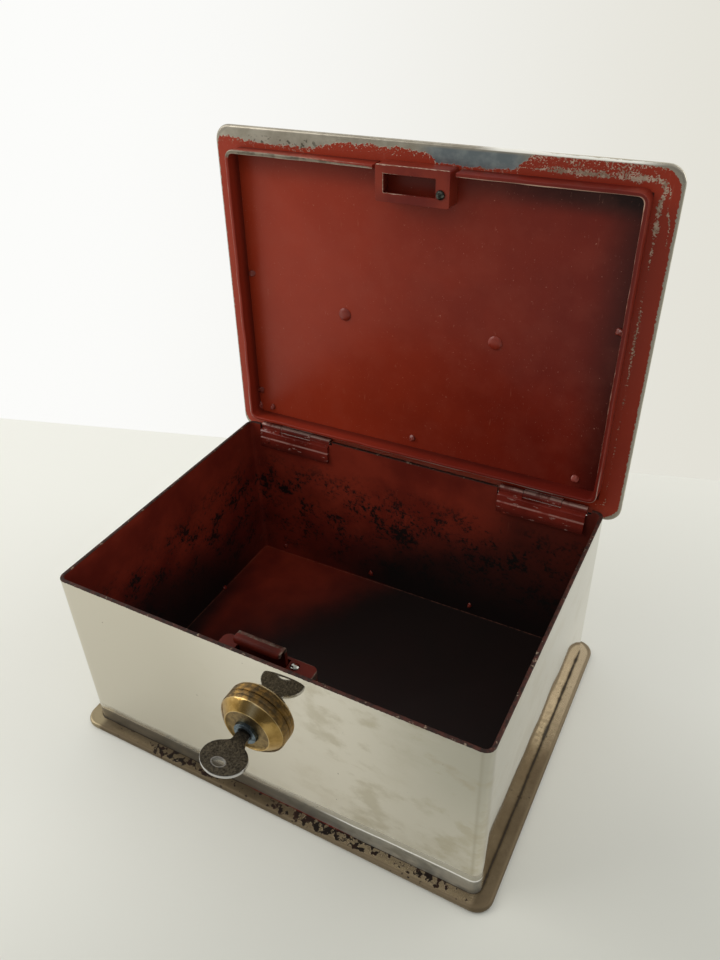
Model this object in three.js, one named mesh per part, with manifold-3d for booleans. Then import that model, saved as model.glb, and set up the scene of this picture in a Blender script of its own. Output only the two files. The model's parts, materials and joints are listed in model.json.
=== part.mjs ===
// Iron strongbox, lid open. Millimetres, X to the right, Y to the back, Z up.
// The origin is the centre of the base plate's underside.
import * as THREE from 'three';
import { mergeVertices } from 'three/addons/utils/BufferGeometryUtils.js';
import Module from 'manifold-3d';

const wasm = await Module();
wasm.setup();

// Box and plates
const bodyWidth = 240;
const bodyDepth = 178.5;
const wallHeight = 108.3;
const wallThickness = 2;
const bodyCornerRadius = 5;
const plateThickness = 3.5;
const plateCornerRadius = 9;
const plateEdgeRadius = 1.6;
const baseOverhang = 7;
const lidOverhang = 7.5;

// Clearances
const seatGap = 0.3;
const contactGap = 0.05;
const runningGap = 0.06;
const knuckleGap = 0.3;
const pressGap = 0.02;

// Cutting tools run this far past the faces that they cut
const cutPast = 1;

// Frame and keep on the lid's inner side
const frameInset = 5.2;
const frameFrontInset = 3.4;
const frameBackInset = 8;
const frameSkew = 2;
const frameHeight = 10;
const frameThickness = 2;
const frameCornerRadius = 5;
const frameGapHalf = 22.9;
const keepHalfWidth = 20.5;
const keepFront = 2.4;
const keepDepth = 18.3;
const keepHeight = 11;
const keepSheet = 1.6;
const keepCornerRadius = 1.2;
const slotLeft = -16;
const slotRight = 13;
const slotFront = 6.8;
const slotBack = 16.2;
const keepPinX = 15.8;
const keepPinY = 14.2;
const keepPinRadius = 2.5;
const keepPinShank = 1.8;
const keepPinDome = 2;

// Hinges
const openAngle = THREE.MathUtils.degToRad(91.8);
const hingeBehindWall = 1.5;
const hingeBelowRim = 2.4;
const hingeFromSide = 36;
const hingeCentreX = bodyWidth / 2 - hingeFromSide;
const hingeLength = 52;
const middleKnuckle = 22.5;
const knuckleRadius = 2.4;
const hingePinRadius = 1.3;
const leafFoot = 16.3;
const leafFold = 8.9;
const leafPad = 2;
const leafSheet = 1.2;
const lidLeafSheet = 1.4;
const notchBottom = 5;
const notchSpare = 3;

// Lock: distances from the front wall's outer face, heights above the base plate
const lockHeight = 63.4;
const bossX = 0.9;
const bossRise = 1.8;
const bossRadius = 18.5;
const bossBand = 5;
const bossDepth = 9.3;
const bossRingRadius = 12.9;
const dishDepth = 0.9;
const cylinderRadius = 6.4;
const cylinderProud = 1.7;
const plugSunk = 0.1;
const collarRadius = 9.5;
const collarBack = 9;
const plugRadius = 3.9;
const plugEnd = 9.4;
const keywayHalfWidth = 3.3;
const keywayHalfHeight = 1.25;
const camRadius = 7;
const camThickness = 1.4;
const camNoseOffset = 6;
const camNoseRadius = 1.5;
const camNoseTip = 13.3;
const caseHalfWidth = 27;
const caseBack = 19.3;
const caseTop = 94;
const caseBottom = 42;
const caseSheet = 1.5;
const caseCornerRadius = 3.6;
const notchLeft = -17.3;
const notchRight = 12.2;
const triggerX = 15.8;
const triggerRadius = 2.4;
const triggerTop = 95.2;
const triggerDome = 1.5;
const triggerStemRadius = 1.8;
const triggerCollarRadius = 2.72;
const triggerCollarThickness = 1.4;
const triggerFoot = 82;
const triggerWallGap = 0.15;
const hookLeft = -15.5;
const hookRight = 11.6;
const hookTop = 105.4;
const hookSheet = 1.8;
const hookWebBack = 15.8;
const hookLipFront = 8.9;
const hookLipDrop = 3.3;
const hookLipRadius = 3;
const hookBendRadius = 2.4;
const pivotY = 12.8;
const pivotZ = 50;
const pivotRadius = 1.5;
const pivotEndGap = 0.15;
const hookEyeRadius = 2.75;

// Key, distances in front of the front wall
const keyThickness = 2.2;
const keyEdge = 0.3;
const bowX = -0.8;
const bowCentre = 25.8;
const bowHalfWidth = 12.4;
const bowHalfLength = 9.7;
const bowHoleRadius = 3.4;
const bowHoleX = -1.6;
const bowHoleCentre = 29;
const neckHalfWidth = 4.5;
const bladeHalfWidth = 3.05;
const bladeInside = 7;
const neckGap = 0.5;
const neckLength = 4;
const neckFlare = 0.4;
const bladeCuts = [[-5.6, 1.1], [-2.4, 1.7], [0.8, 0.9], [4, 1.5]];
const bowSteps = 40;

// Carrying handle on the lid's outer side
const postX = 46.4;
const postFromFront = 91.2;
const postShankRadius = 2.5;
const postDiscRadius = 8;
const postDiscThickness = 2.5;
const postEyeHeight = 7;
const postEyeRadius = 4.6;
const postEarHalf = 2.5;
const postHeadRadius = 4;
const postHeadHeight = 1.3;
const bailRadius = 2.7;
const bailLegX = 55;
const bailReach = 36;
const bailTurnRadius = 6;
const bailCornerRadius = 14;
const bailEndX = 42.9;

// Values that follow from the ones above
const frontFace = -bodyDepth / 2;
const backFace = bodyDepth / 2;
const frontInner = frontFace + wallThickness;
const backInner = backFace - wallThickness;
const floorTop = plateThickness;
const rimTop = floorTop + wallHeight;
const lidUnder = rimTop + seatGap;
const lidTop = lidUnder + plateThickness;
const hingeY = backFace + hingeBehindWall;
const hingeZ = rimTop - hingeBelowRim;
const lockZ = floorTop + lockHeight;
const triggerY = caseBack - caseSheet - triggerCollarRadius - triggerWallGap;
const cylinderFront = bossDepth - dishDepth + cylinderProud;
const neckEnd = cylinderFront + neckGap;
const postY = frontFace + postFromFront;
const bailAxisZ = lidTop + postEyeHeight;
const fineRound = 48;
const plainRound = 32;
const smallRound = 20;

const lidOpening = new THREE.Matrix4()
  .makeTranslation(0, hingeY, hingeZ)
  .multiply(new THREE.Matrix4().makeRotationX(-openAngle))
  .multiply(new THREE.Matrix4().makeTranslation(0, -hingeY, -hingeZ));

// Twice the sum of the signed tetrahedra: negative when the faces point inwards.
function signedVolume(points, triangles) {
  const a = new THREE.Vector3();
  const b = new THREE.Vector3();
  const c = new THREE.Vector3();
  let sum = 0;
  for (let i = 0; i < triangles.length; i += 3) {
    a.fromArray(points, triangles[i] * 3);
    b.fromArray(points, triangles[i + 1] * 3);
    c.fromArray(points, triangles[i + 2] * 3);
    sum += a.dot(b.cross(c));
  }
  return sum;
}

function toSolid(geometry) {
  const bare = geometry.clone();
  bare.deleteAttribute('normal');
  bare.deleteAttribute('uv');
  const welded = mergeVertices(bare, 1e-4);
  const points = Float32Array.from(welded.attributes.position.array);
  const triangles = Uint32Array.from(welded.index.array);
  if (signedVolume(points, triangles) < 0) {
    triangles.reverse();
  }
  return new wasm.Manifold(new wasm.Mesh({ numProp: 3, vertProperties: points, triVerts: triangles }));
}

function toGeometry(solid) {
  const mesh = solid.getMesh();
  const geometry = new THREE.BufferGeometry();
  geometry.setAttribute('position', new THREE.BufferAttribute(Float32Array.from(mesh.vertProperties), 3));
  geometry.setIndex(new THREE.BufferAttribute(Uint32Array.from(mesh.triVerts), 1));
  geometry.computeVertexNormals();
  return geometry;
}

function join(...geometries) {
  let solid = toSolid(geometries[0]);
  for (const geometry of geometries.slice(1)) {
    solid = solid.add(toSolid(geometry));
  }
  return toGeometry(solid);
}

function cut(geometry, ...tools) {
  let solid = toSolid(geometry);
  for (const tool of tools) {
    solid = solid.subtract(toSolid(tool));
  }
  return toGeometry(solid);
}

function common(first, second) {
  return toGeometry(toSolid(first).intersect(toSolid(second)));
}

function block(x0, x1, y0, y1, z0, z1) {
  const box = new THREE.BoxGeometry(x1 - x0, y1 - y0, z1 - z0);
  return box.translate((x0 + x1) / 2, (y0 + y1) / 2, (z0 + z1) / 2);
}

function outlineOf(points) {
  return new THREE.Shape(points.map(([u, v]) => new THREE.Vector2(u, v)));
}

// Rectangle with the front corners and the back corners rounded by their own radii.
function roundedOutline(x0, x1, y0, y1, frontRadius, backRadius = frontRadius) {
  const quarter = Math.PI / 2;
  const shape = new THREE.Shape();
  shape.moveTo(x0 + frontRadius, y0);
  shape.lineTo(x1 - frontRadius, y0);
  if (frontRadius > 0) shape.absarc(x1 - frontRadius, y0 + frontRadius, frontRadius, -quarter, 0, false);
  shape.lineTo(x1, y1 - backRadius);
  if (backRadius > 0) shape.absarc(x1 - backRadius, y1 - backRadius, backRadius, 0, quarter, false);
  shape.lineTo(x0 + backRadius, y1);
  if (backRadius > 0) shape.absarc(x0 + backRadius, y1 - backRadius, backRadius, quarter, 2 * quarter, false);
  shape.lineTo(x0, y0 + frontRadius);
  if (frontRadius > 0) {
    shape.absarc(x0 + frontRadius, y0 + frontRadius, frontRadius, 2 * quarter, 3 * quarter, false);
  }
  return shape;
}

// Outline in plan, raised from z0 to z1.
function slab(shape, z0, z1, curveSegments = 4) {
  const options = { depth: z1 - z0, bevelEnabled: false, curveSegments };
  return new THREE.ExtrudeGeometry(shape, options).translate(0, 0, z0);
}

// The same with both edges rounded.
function softSlab(shape, z0, z1, edge, bevelSegments = 3, curveSegments = 4) {
  const options = {
    depth: z1 - z0 - 2 * edge,
    bevelEnabled: true,
    bevelThickness: edge,
    bevelSize: edge,
    bevelOffset: -edge,
    bevelSegments,
    curveSegments,
  };
  return new THREE.ExtrudeGeometry(shape, options).translate(0, 0, z0 + edge);
}

// Outline in Y and Z, run along X from x0 to x1.
function barAlongX(shape, x0, x1, curveSegments = 4) {
  const turn = new THREE.Matrix4().makeBasis(
    new THREE.Vector3(0, 1, 0),
    new THREE.Vector3(0, 0, 1),
    new THREE.Vector3(1, 0, 0),
  );
  return slab(shape, 0, x1 - x0, curveSegments).applyMatrix4(turn).translate(x0, 0, 0);
}

// Outline in X and Z, run along Y from y0 to y1.
function barAlongY(shape, y0, y1, curveSegments = 4) {
  const turn = new THREE.Matrix4().makeBasis(
    new THREE.Vector3(1, 0, 0),
    new THREE.Vector3(0, 0, 1),
    new THREE.Vector3(0, -1, 0),
  );
  return slab(shape, 0, y1 - y0, curveSegments).applyMatrix4(turn).translate(0, y1, 0);
}

// Profile of radii and heights turned about Z's stand-in, the lathe's own Y axis.
function turned(profile, segments) {
  const points = profile.map(([r, t]) => new THREE.Vector2(r, t));
  if (THREE.ShapeUtils.area(points) < 0) {
    points.reverse();
  }
  return new THREE.LatheGeometry(points, segments);
}

function rodAlongX(radius, x0, x1, y, z, segments) {
  const rod = turned([[0, x0], [radius, x0], [radius, x1], [0, x1]], segments);
  return rod.rotateZ(-Math.PI / 2).translate(0, y, z);
}

function rodAlongZ(radius, z0, z1, x, y, segments) {
  const rod = turned([[0, z0], [radius, z0], [radius, z1], [0, z1]], segments);
  return rod.rotateX(Math.PI / 2).translate(x, y, 0);
}

function onLid(geometry) {
  return geometry.applyMatrix4(lidOpening);
}

function plateOutline(overhang) {
  const half = bodyWidth / 2 + overhang;
  return roundedOutline(-half, half, frontFace - overhang, backFace + overhang, plateCornerRadius);
}

function basePlate() {
  return softSlab(plateOutline(baseOverhang), 0, plateThickness, plateEdgeRadius);
}

function cylinderBore() {
  const radius = cylinderRadius + contactGap;
  const front = -bossDepth - 2 * cutPast;
  const back = wallThickness + 2 * cutPast;
  const bore = turned([[0, front], [radius, front], [radius, back], [0, back]], plainRound);
  return bore.translate(0, frontFace, lockZ);
}

function hingeNotch(centreX) {
  const left = centreX - hingeLength / 2 - 2 * knuckleGap;
  const right = centreX + hingeLength / 2 + notchSpare;
  return block(left, right, backInner - cutPast, backFace + cutPast, rimTop - notchBottom, rimTop + cutPast);
}

function bodyShell() {
  const half = bodyWidth / 2;
  const innerRadius = bodyCornerRadius - wallThickness;
  const outer = roundedOutline(-half, half, frontFace, backFace, bodyCornerRadius);
  const innerHalf = half - wallThickness;
  const inner = roundedOutline(-innerHalf, innerHalf, frontInner, backInner, innerRadius);
  return cut(
    slab(outer, floorTop, rimTop),
    slab(inner, floorTop - cutPast, rimTop + cutPast),
    cylinderBore(),
    hingeNotch(-hingeCentreX),
    hingeNotch(hingeCentreX),
  );
}

// Sheet box behind the front wall, open towards it, with the notch for the hook in its top.
function lockCase() {
  const outer = roundedOutline(
    -caseHalfWidth, caseHalfWidth, frontInner, frontFace + caseBack, 0, caseCornerRadius,
  );
  const innerHalf = caseHalfWidth - caseSheet;
  const inner = roundedOutline(
    -innerHalf, innerHalf, frontInner - cutPast, frontFace + caseBack - caseSheet,
    0, caseCornerRadius - caseSheet,
  );
  const low = floorTop + caseBottom;
  const high = floorTop + caseTop;
  const notch = block(
    notchLeft, notchRight, frontInner - cutPast, frontFace + caseBack - caseSheet,
    high - 2 * caseSheet, high + cutPast,
  );
  const hole = rodAlongZ(
    triggerRadius + runningGap, high - 2 * caseSheet, high + cutPast,
    triggerX, frontFace + triggerY, smallRound,
  );
  return cut(slab(outer, low, high), slab(inner, low + caseSheet, high - caseSheet), notch, hole);
}

// Turned boss: bore, dished face, ring edge, cone, band. Lathe axis along Y.
function lockBoss() {
  const face = -(bossDepth - dishDepth);
  const profile = [
    [0, face],
    [bossRingRadius - 1.1, face],
    [bossRingRadius - 0.5, -bossDepth + 0.15],
    [bossRingRadius, -bossDepth],
    [bossRingRadius + 0.5, -bossDepth + 0.2],
    [bossRadius - 2.4, -bossBand - 2.2],
    [bossRadius - 0.8, -bossBand - 0.7],
    [bossRadius, -bossBand + 0.2],
    [bossRadius + 0.1, -bossBand / 2],
    [bossRadius, 0],
    [0, 0],
  ];
  const disc = turned(profile, fineRound).translate(bossX, frontFace, lockZ + bossRise);
  return cut(disc, cylinderBore());
}

function cylinderBody() {
  const bore = plugRadius + runningGap + pressGap;
  const face = -cylinderFront;
  const profile = [
    [bore, face],
    [cylinderRadius, face],
    [cylinderRadius, wallThickness],
    [collarRadius, wallThickness],
    [collarRadius, collarBack],
    [bore, collarBack],
    [bore, face],
  ];
  return turned(profile, plainRound).translate(0, frontFace, lockZ);
}

function cylinderPlug() {
  const face = -cylinderFront + plugSunk;
  const plug = turned([[0, face], [plugRadius, face], [plugRadius, plugEnd], [0, plugEnd]], plainRound);
  const keyway = block(
    -keywayHalfWidth, keywayHalfWidth, face - cutPast, plugEnd - 1.2, -keywayHalfHeight, keywayHalfHeight,
  );
  return cut(plug, keyway).translate(0, frontFace, lockZ);
}

function lockCam() {
  const end = plugEnd + camThickness;
  const disc = turned([[0, plugEnd], [camRadius, plugEnd], [camRadius, end], [0, end]], plainRound);
  const nose = turned(
    [[0, plugEnd + 0.5], [camNoseRadius, plugEnd + 0.5], [camNoseRadius, camNoseTip], [0, camNoseTip]],
    smallRound,
  );
  nose.translate(0, 0, camNoseOffset);
  return join(disc, nose).translate(0, frontFace, lockZ);
}

// Flat key seen from above: oval bow with a ring hole, waisted neck, shoulders, blade with cuts.
function keyPiece() {
  const jointAngle = Math.asin(neckHalfWidth / bowHalfWidth) + 0.12;
  const waist = neckHalfWidth - 0.6;
  const points = [];
  for (let i = 0; i <= bowSteps; i += 1) {
    const angle = Math.PI / 2 + jointAngle + (i / bowSteps) * (2 * Math.PI - 2 * jointAngle);
    points.push([bowX + bowHalfWidth * Math.cos(angle), -bowCentre + bowHalfLength * Math.sin(angle)]);
  }
  points.push([waist + neckFlare, -bowCentre + bowHalfLength + neckFlare]);
  points.push([waist, -neckEnd - neckLength]);
  points.push([waist, -neckEnd]);
  points.push([bladeHalfWidth, -neckEnd]);
  for (const [at, depth] of bladeCuts) {
    points.push([bladeHalfWidth, at - 1.3]);
    points.push([bladeHalfWidth - depth, at - 0.3]);
    points.push([bladeHalfWidth - depth, at + 0.3]);
    points.push([bladeHalfWidth, at + 1.3]);
  }
  points.push([bladeHalfWidth - 1.2, bladeInside]);
  points.push([1.2 - bladeHalfWidth, bladeInside]);
  points.push([-bladeHalfWidth, bladeInside - 1.5]);
  points.push([-bladeHalfWidth, -neckEnd]);
  points.push([-waist, -neckEnd]);
  points.push([-waist, -neckEnd - neckLength]);
  points.push([-waist - neckFlare, -bowCentre + bowHalfLength + neckFlare]);
  const plate = softSlab(outlineOf(points), -keyThickness / 2, keyThickness / 2, keyEdge, 1);
  const hole = rodAlongZ(bowHoleRadius, -keyThickness, keyThickness, bowHoleX, -bowHoleCentre, plainRound);
  return cut(plate, hole).translate(0, frontFace, lockZ);
}

// Bent sheet hook: eye at the foot, web with the window for the cam, lip turned to the front.
function lockHook() {
  const back = frontFace + hookWebBack;
  const front = back - hookSheet;
  const lip = frontFace + hookLipFront;
  const top = floorTop + hookTop;
  const foot = floorTop + pivotZ;
  const bend = new THREE.Shape();
  bend.moveTo(front, foot);
  bend.lineTo(back, foot);
  bend.lineTo(back, top - hookBendRadius);
  bend.absarc(back - hookBendRadius, top - hookBendRadius, hookBendRadius, 0, Math.PI / 2, false);
  bend.lineTo(lip + hookLipRadius, top);
  bend.absarc(lip + hookLipRadius, top - hookLipRadius, hookLipRadius, Math.PI / 2, Math.PI, false);
  bend.lineTo(lip, top - hookLipDrop);
  bend.lineTo(lip + hookSheet, top - hookLipDrop);
  bend.lineTo(lip + hookSheet + 0.8, top - hookSheet);
  bend.lineTo(front - 0.8, top - hookSheet);
  bend.absarc(front - 0.8, top - hookSheet - 0.8, 0.8, Math.PI / 2, 0, true);
  const sheet = barAlongX(bend, hookLeft, hookRight, 5);
  const plan = slab(roundedOutline(hookLeft, hookRight, lip, back + cutPast, 2.2, 0), foot - 1, top + 1, 4);
  const face = new THREE.Shape();
  face.moveTo(hookLeft, foot - 1);
  face.lineTo(hookRight, foot - 1);
  face.lineTo(hookRight, top - 1.2);
  face.lineTo(hookRight - 1.2, top);
  face.lineTo(hookLeft + 2.4, top);
  face.absarc(hookLeft + 2.4, top - 2.4, 2.4, Math.PI / 2, Math.PI, false);
  const trimmed = common(common(sheet, plan), barAlongY(face, lip - 1, back + 2));
  const middle = floorTop + lockHeight;
  const window = outlineOf([
    [hookLeft + 4, middle - 8.6],
    [hookRight - 2.6, middle - 8.6],
    [hookRight - 2.6, middle + 10.6],
    [2, middle + 10.6],
    [2, middle + 2.8],
    [-2, middle + 2.8],
    [-2, middle + 10.6],
    [hookLeft + 4, middle + 10.6],
  ]);
  const open = cut(trimmed, barAlongY(window, front - 3, back + 3));
  const eye = rodAlongX(hookEyeRadius, hookLeft + 2.5, hookRight - 1.8, frontFace + pivotY, foot, smallRound);
  const bore = rodAlongX(
    pivotRadius + runningGap, hookLeft - 2, hookRight + 2, frontFace + pivotY, foot, smallRound,
  );
  return cut(join(open, eye), bore);
}

function hookPivot() {
  const half = caseHalfWidth - caseSheet - pivotEndGap;
  return rodAlongX(pivotRadius, -half, half, frontFace + pivotY, floorTop + pivotZ, smallRound);
}

// The dome's profile is a quarter of an ellipse, from its rim to the middle.
function domeProfile(radius, top, height) {
  const steps = 5;
  const points = [];
  for (let i = 0; i <= steps; i += 1) {
    const angle = (i / steps) * (Math.PI / 2);
    points.push([radius * Math.cos(angle), top - height + height * Math.sin(angle)]);
  }
  points[steps][0] = 0;
  return points;
}

function triggerButton() {
  const top = floorTop + triggerTop;
  const collarTop = floorTop + caseTop - caseSheet;
  const collarLow = collarTop - triggerCollarThickness;
  const profile = [
    [0, floorTop + triggerFoot],
    [triggerStemRadius, floorTop + triggerFoot],
    [triggerStemRadius, collarLow],
    [triggerCollarRadius, collarLow],
    [triggerCollarRadius, collarTop],
    [triggerRadius, collarTop],
    ...domeProfile(triggerRadius, top, triggerDome),
  ];
  return turned(profile, smallRound).rotateX(Math.PI / 2).translate(triggerX, frontFace + triggerY, 0);
}

// Body leaf: pad on the wall, fold, proud plate, bridge over the wall's notch, two outer knuckles.
function hingeBodyLeaf(centreX) {
  const half = hingeLength / 2;
  const middleHalf = middleKnuckle / 2 + knuckleGap;
  const fold = rimTop - leafFold;
  const sill = rimTop - notchBottom + knuckleGap;
  const plate = outlineOf([
    [backInner - leafPad, rimTop - leafFoot],
    [backInner, rimTop - leafFoot],
    [backInner, sill],
    [hingeY, sill],
    [hingeY, hingeZ],
    [hingeY - knuckleRadius + 0.1, hingeZ - 0.7],
    [backInner - leafSheet, sill + 0.1],
    [backInner - leafSheet, fold],
    [backInner - leafPad, fold - 0.4],
  ]);
  const leaf = barAlongX(plate, centreX - half, centreX + half);
  const barrel = rodAlongX(knuckleRadius, centreX - half, centreX + half, hingeY, hingeZ, smallRound);
  const room = join(
    rodAlongX(
      knuckleRadius + knuckleGap, centreX - middleHalf, centreX + middleHalf, hingeY, hingeZ, plainRound,
    ),
    block(
      centreX - middleHalf, centreX + middleHalf,
      backInner - leafPad - cutPast, hingeY + knuckleRadius + cutPast,
      sill + knuckleGap, rimTop + 5 * cutPast,
    ),
  );
  const bore = rodAlongX(
    hingePinRadius, centreX - half - cutPast, centreX + half + cutPast, hingeY, hingeZ, smallRound,
  );
  return cut(join(leaf, barrel), room, bore);
}

function hingePin(centreX) {
  const half = hingeLength / 2;
  return rodAlongX(hingePinRadius, centreX - half, centreX + half, hingeY, hingeZ, smallRound);
}

// Lid leaf: middle knuckle and a plate that runs under the lid as far as the frame.
function hingeLidLeaf(centreX) {
  const half = middleKnuckle / 2;
  const high = lidUnder - contactGap;
  const low = high - lidLeafSheet;
  const front = frameBackAt(centreX - half) + contactGap;
  const plate = block(centreX - half, centreX + half, front, hingeY + 0.4, low, high);
  const barrel = rodAlongX(knuckleRadius, centreX - half, centreX + half, hingeY, hingeZ, smallRound);
  const bore = rodAlongX(
    hingePinRadius + runningGap, centreX - half - cutPast, centreX + half + cutPast,
    hingeY, hingeZ, smallRound,
  );
  return onLid(cut(join(plate, barrel), bore));
}

function lidPlate() {
  const plate = softSlab(plateOutline(lidOverhang), lidUnder, lidTop, plateEdgeRadius);
  const hole = postShankRadius + contactGap;
  return onLid(cut(
    plate,
    rodAlongZ(hole, lidUnder - cutPast, lidTop + cutPast, -postX, postY, smallRound),
    rodAlongZ(hole, lidUnder - cutPast, lidTop + cutPast, postX, postY, smallRound),
  ));
}

// The frame's back strip runs a little out of square: nearer to the hinges on the left.
function skewAt(x) {
  return frameSkew * (0.5 - x / bodyWidth);
}

function frameBackAt(x) {
  return backFace - frameBackInset + skewAt(x);
}

// One bent strip inside the rim, open at the front where the keep sits.
function lidFrame() {
  const half = bodyWidth / 2 - frameInset;
  const front = frontFace + frameFrontInset;
  const back = backFace - frameBackInset;
  const high = lidUnder - contactGap;
  const low = lidUnder - frameHeight;
  const inside = frameThickness;
  const outer = roundedOutline(-half, half, front, back, frameCornerRadius);
  const inner = roundedOutline(
    -half + inside, half - inside, front + inside, back - inside, frameCornerRadius - inside,
  );
  const gap = block(
    -frameGapHalf, frameGapHalf, front - cutPast, front + inside + cutPast, low - cutPast, high + cutPast,
  );
  const strip = cut(slab(outer, low, high), slab(inner, low - cutPast, high + cutPast), gap);
  const place = strip.attributes.position;
  for (let i = 0; i < place.count; i += 1) {
    if (place.getY(i) > 0) {
      place.setY(i, place.getY(i) + skewAt(place.getX(i)));
    }
  }
  return onLid(strip);
}

function keepBox() {
  const front = frontFace + keepFront;
  const back = front + keepDepth;
  const high = lidUnder - contactGap;
  const low = lidUnder - keepHeight;
  const sheet = keepSheet;
  const outer = roundedOutline(-keepHalfWidth, keepHalfWidth, front, back, keepCornerRadius);
  const hollow = block(
    -keepHalfWidth + sheet, keepHalfWidth - sheet, front + sheet, back - sheet, low + sheet, high + cutPast,
  );
  const slot = block(
    slotLeft, slotRight, frontFace + slotFront, frontFace + slotBack, low - cutPast, low + sheet + cutPast,
  );
  const pinHole = rodAlongZ(
    keepPinShank, low - cutPast, low + sheet + cutPast, keepPinX, frontFace + keepPinY, smallRound,
  );
  return onLid(cut(slab(outer, low, high), hollow, slot, pinHole));
}

// Domed pin in the keep's face that meets the trigger when the lid shuts.
function keepPin() {
  const face = lidUnder - keepHeight;
  const under = face - contactGap;
  const profile = [
    [0, face + keepSheet],
    [keepPinShank - contactGap, face + keepSheet],
    [keepPinShank - contactGap, under],
    [keepPinRadius, under],
    [keepPinRadius * 0.92, under - keepPinDome * 0.45],
    [keepPinRadius * 0.6, under - keepPinDome * 0.85],
    [0, under - keepPinDome + contactGap],
  ];
  return onLid(turned(profile, smallRound).rotateX(Math.PI / 2).translate(keepPinX, frontFace + keepPinY, 0));
}

// Eyed post: disc and ear outside, shank through the lid, peened head inside.
function handlePost(side) {
  const x = side * postX;
  const discLow = lidTop + contactGap;
  const headTop = lidUnder - contactGap;
  const profile = [
    [0, headTop - postHeadHeight],
    [postHeadRadius * 0.5, headTop - postHeadHeight * 0.92],
    [postHeadRadius * 0.86, headTop - postHeadHeight * 0.6],
    [postHeadRadius, headTop - 0.2],
    [postHeadRadius, headTop],
    [postShankRadius, headTop],
    [postShankRadius, discLow],
    [postDiscRadius, discLow],
    [postDiscRadius, discLow + postDiscThickness - 0.8],
    [postDiscRadius - 0.8, discLow + postDiscThickness],
    [0, discLow + postDiscThickness],
  ];
  const post = turned(profile, smallRound).rotateX(Math.PI / 2).translate(x, postY, 0);
  const ear = new THREE.Shape();
  ear.moveTo(postY - postEyeRadius, lidTop + 1);
  ear.lineTo(postY + postEyeRadius, lidTop + 1);
  ear.absarc(postY, bailAxisZ, postEyeRadius, 0, Math.PI, false);
  const lug = barAlongX(ear, x - postEarHalf, x + postEarHalf, 8);
  const bore = rodAlongX(
    bailRadius + runningGap, x - postEarHalf - cutPast, x + postEarHalf + cutPast,
    postY, bailAxisZ, smallRound,
  );
  return onLid(cut(join(post, lug), bore));
}

// Bail: the ends turn inwards through the posts, two legs, round corners, straight grip.
function bailHandle() {
  const path = new THREE.CurvePath();
  const at = (x, reach) => new THREE.Vector3(x, reach, 0);
  const turn = bailLegX - bailTurnRadius;
  const grip = bailLegX - bailCornerRadius;
  const corner = bailReach - bailCornerRadius;
  path.add(new THREE.LineCurve3(at(-bailEndX, 0), at(-turn, 0)));
  path.add(new THREE.QuadraticBezierCurve3(at(-turn, 0), at(-bailLegX, 0), at(-bailLegX, bailTurnRadius)));
  path.add(new THREE.LineCurve3(at(-bailLegX, bailTurnRadius), at(-bailLegX, corner)));
  path.add(new THREE.QuadraticBezierCurve3(at(-bailLegX, corner), at(-bailLegX, bailReach), at(-grip, bailReach)));
  path.add(new THREE.LineCurve3(at(-grip, bailReach), at(grip, bailReach)));
  path.add(new THREE.QuadraticBezierCurve3(at(grip, bailReach), at(bailLegX, bailReach), at(bailLegX, corner)));
  path.add(new THREE.LineCurve3(at(bailLegX, corner), at(bailLegX, bailTurnRadius)));
  path.add(new THREE.QuadraticBezierCurve3(at(bailLegX, bailTurnRadius), at(bailLegX, 0), at(turn, 0)));
  path.add(new THREE.LineCurve3(at(turn, 0), at(bailEndX, 0)));
  const round = new THREE.Shape();
  round.absarc(0, 0, bailRadius, 0, 2 * Math.PI, false);
  const options = { steps: 90, extrudePath: path, bevelEnabled: false, curveSegments: 6 };
  const rod = new THREE.ExtrudeGeometry(round, options);
  rod.rotateX(openAngle - Math.PI / 2).translate(0, postY, bailAxisZ);
  return onLid(rod);
}

const finishes = {
  nickel: { color: 0xbdb8a8, roughness: 0.12, metalness: 1 },
  tarnishedNickel: { color: 0x94846a, roughness: 0.4, metalness: 0.9 },
  redOxide: { color: 0x7a2b20, roughness: 0.5, metalness: 0 },
  brass: { color: 0xa07a38, roughness: 0.25, metalness: 1 },
  zinc: { color: 0x7c8c96, roughness: 0.4, metalness: 0.9 },
  steel: { color: 0x6e7066, roughness: 0.4, metalness: 1 },
  darkSteel: { color: 0x2a2a28, roughness: 0.5, metalness: 0.9 },
  keySteel: { color: 0x5a544a, roughness: 0.4, metalness: 0.9 },
};

const pieces = [
  ['base_plate', basePlate, 'tarnishedNickel'],
  ['body_shell', bodyShell, 'nickel'],
  ['lock_case', lockCase, 'redOxide'],
  ['lock_boss', lockBoss, 'brass'],
  ['cylinder_body', cylinderBody, 'zinc'],
  ['hook_pivot', hookPivot, 'steel'],
  ['hinge_body_leaf_left', () => hingeBodyLeaf(-hingeCentreX), 'redOxide'],
  ['hinge_body_leaf_right', () => hingeBodyLeaf(hingeCentreX), 'redOxide'],
  ['hinge_pin_left', () => hingePin(-hingeCentreX), 'steel'],
  ['hinge_pin_right', () => hingePin(hingeCentreX), 'steel'],
  ['lid_plate', lidPlate, 'nickel'],
  ['lid_frame', lidFrame, 'redOxide'],
  ['keep_box', keepBox, 'redOxide'],
  ['keep_pin', keepPin, 'steel'],
  ['hinge_lid_leaf_left', () => hingeLidLeaf(-hingeCentreX), 'redOxide'],
  ['hinge_lid_leaf_right', () => hingeLidLeaf(hingeCentreX), 'redOxide'],
  ['handle_post_left', () => handlePost(-1), 'nickel'],
  ['handle_post_right', () => handlePost(1), 'nickel'],
  ['bail_handle', bailHandle, 'nickel'],
  ['cylinder_plug', cylinderPlug, 'darkSteel'],
  ['lock_cam', lockCam, 'steel'],
  ['key', keyPiece, 'keySteel'],
  ['lock_hook', lockHook, 'redOxide'],
  ['trigger_button', triggerButton, 'steel'],
];

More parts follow.
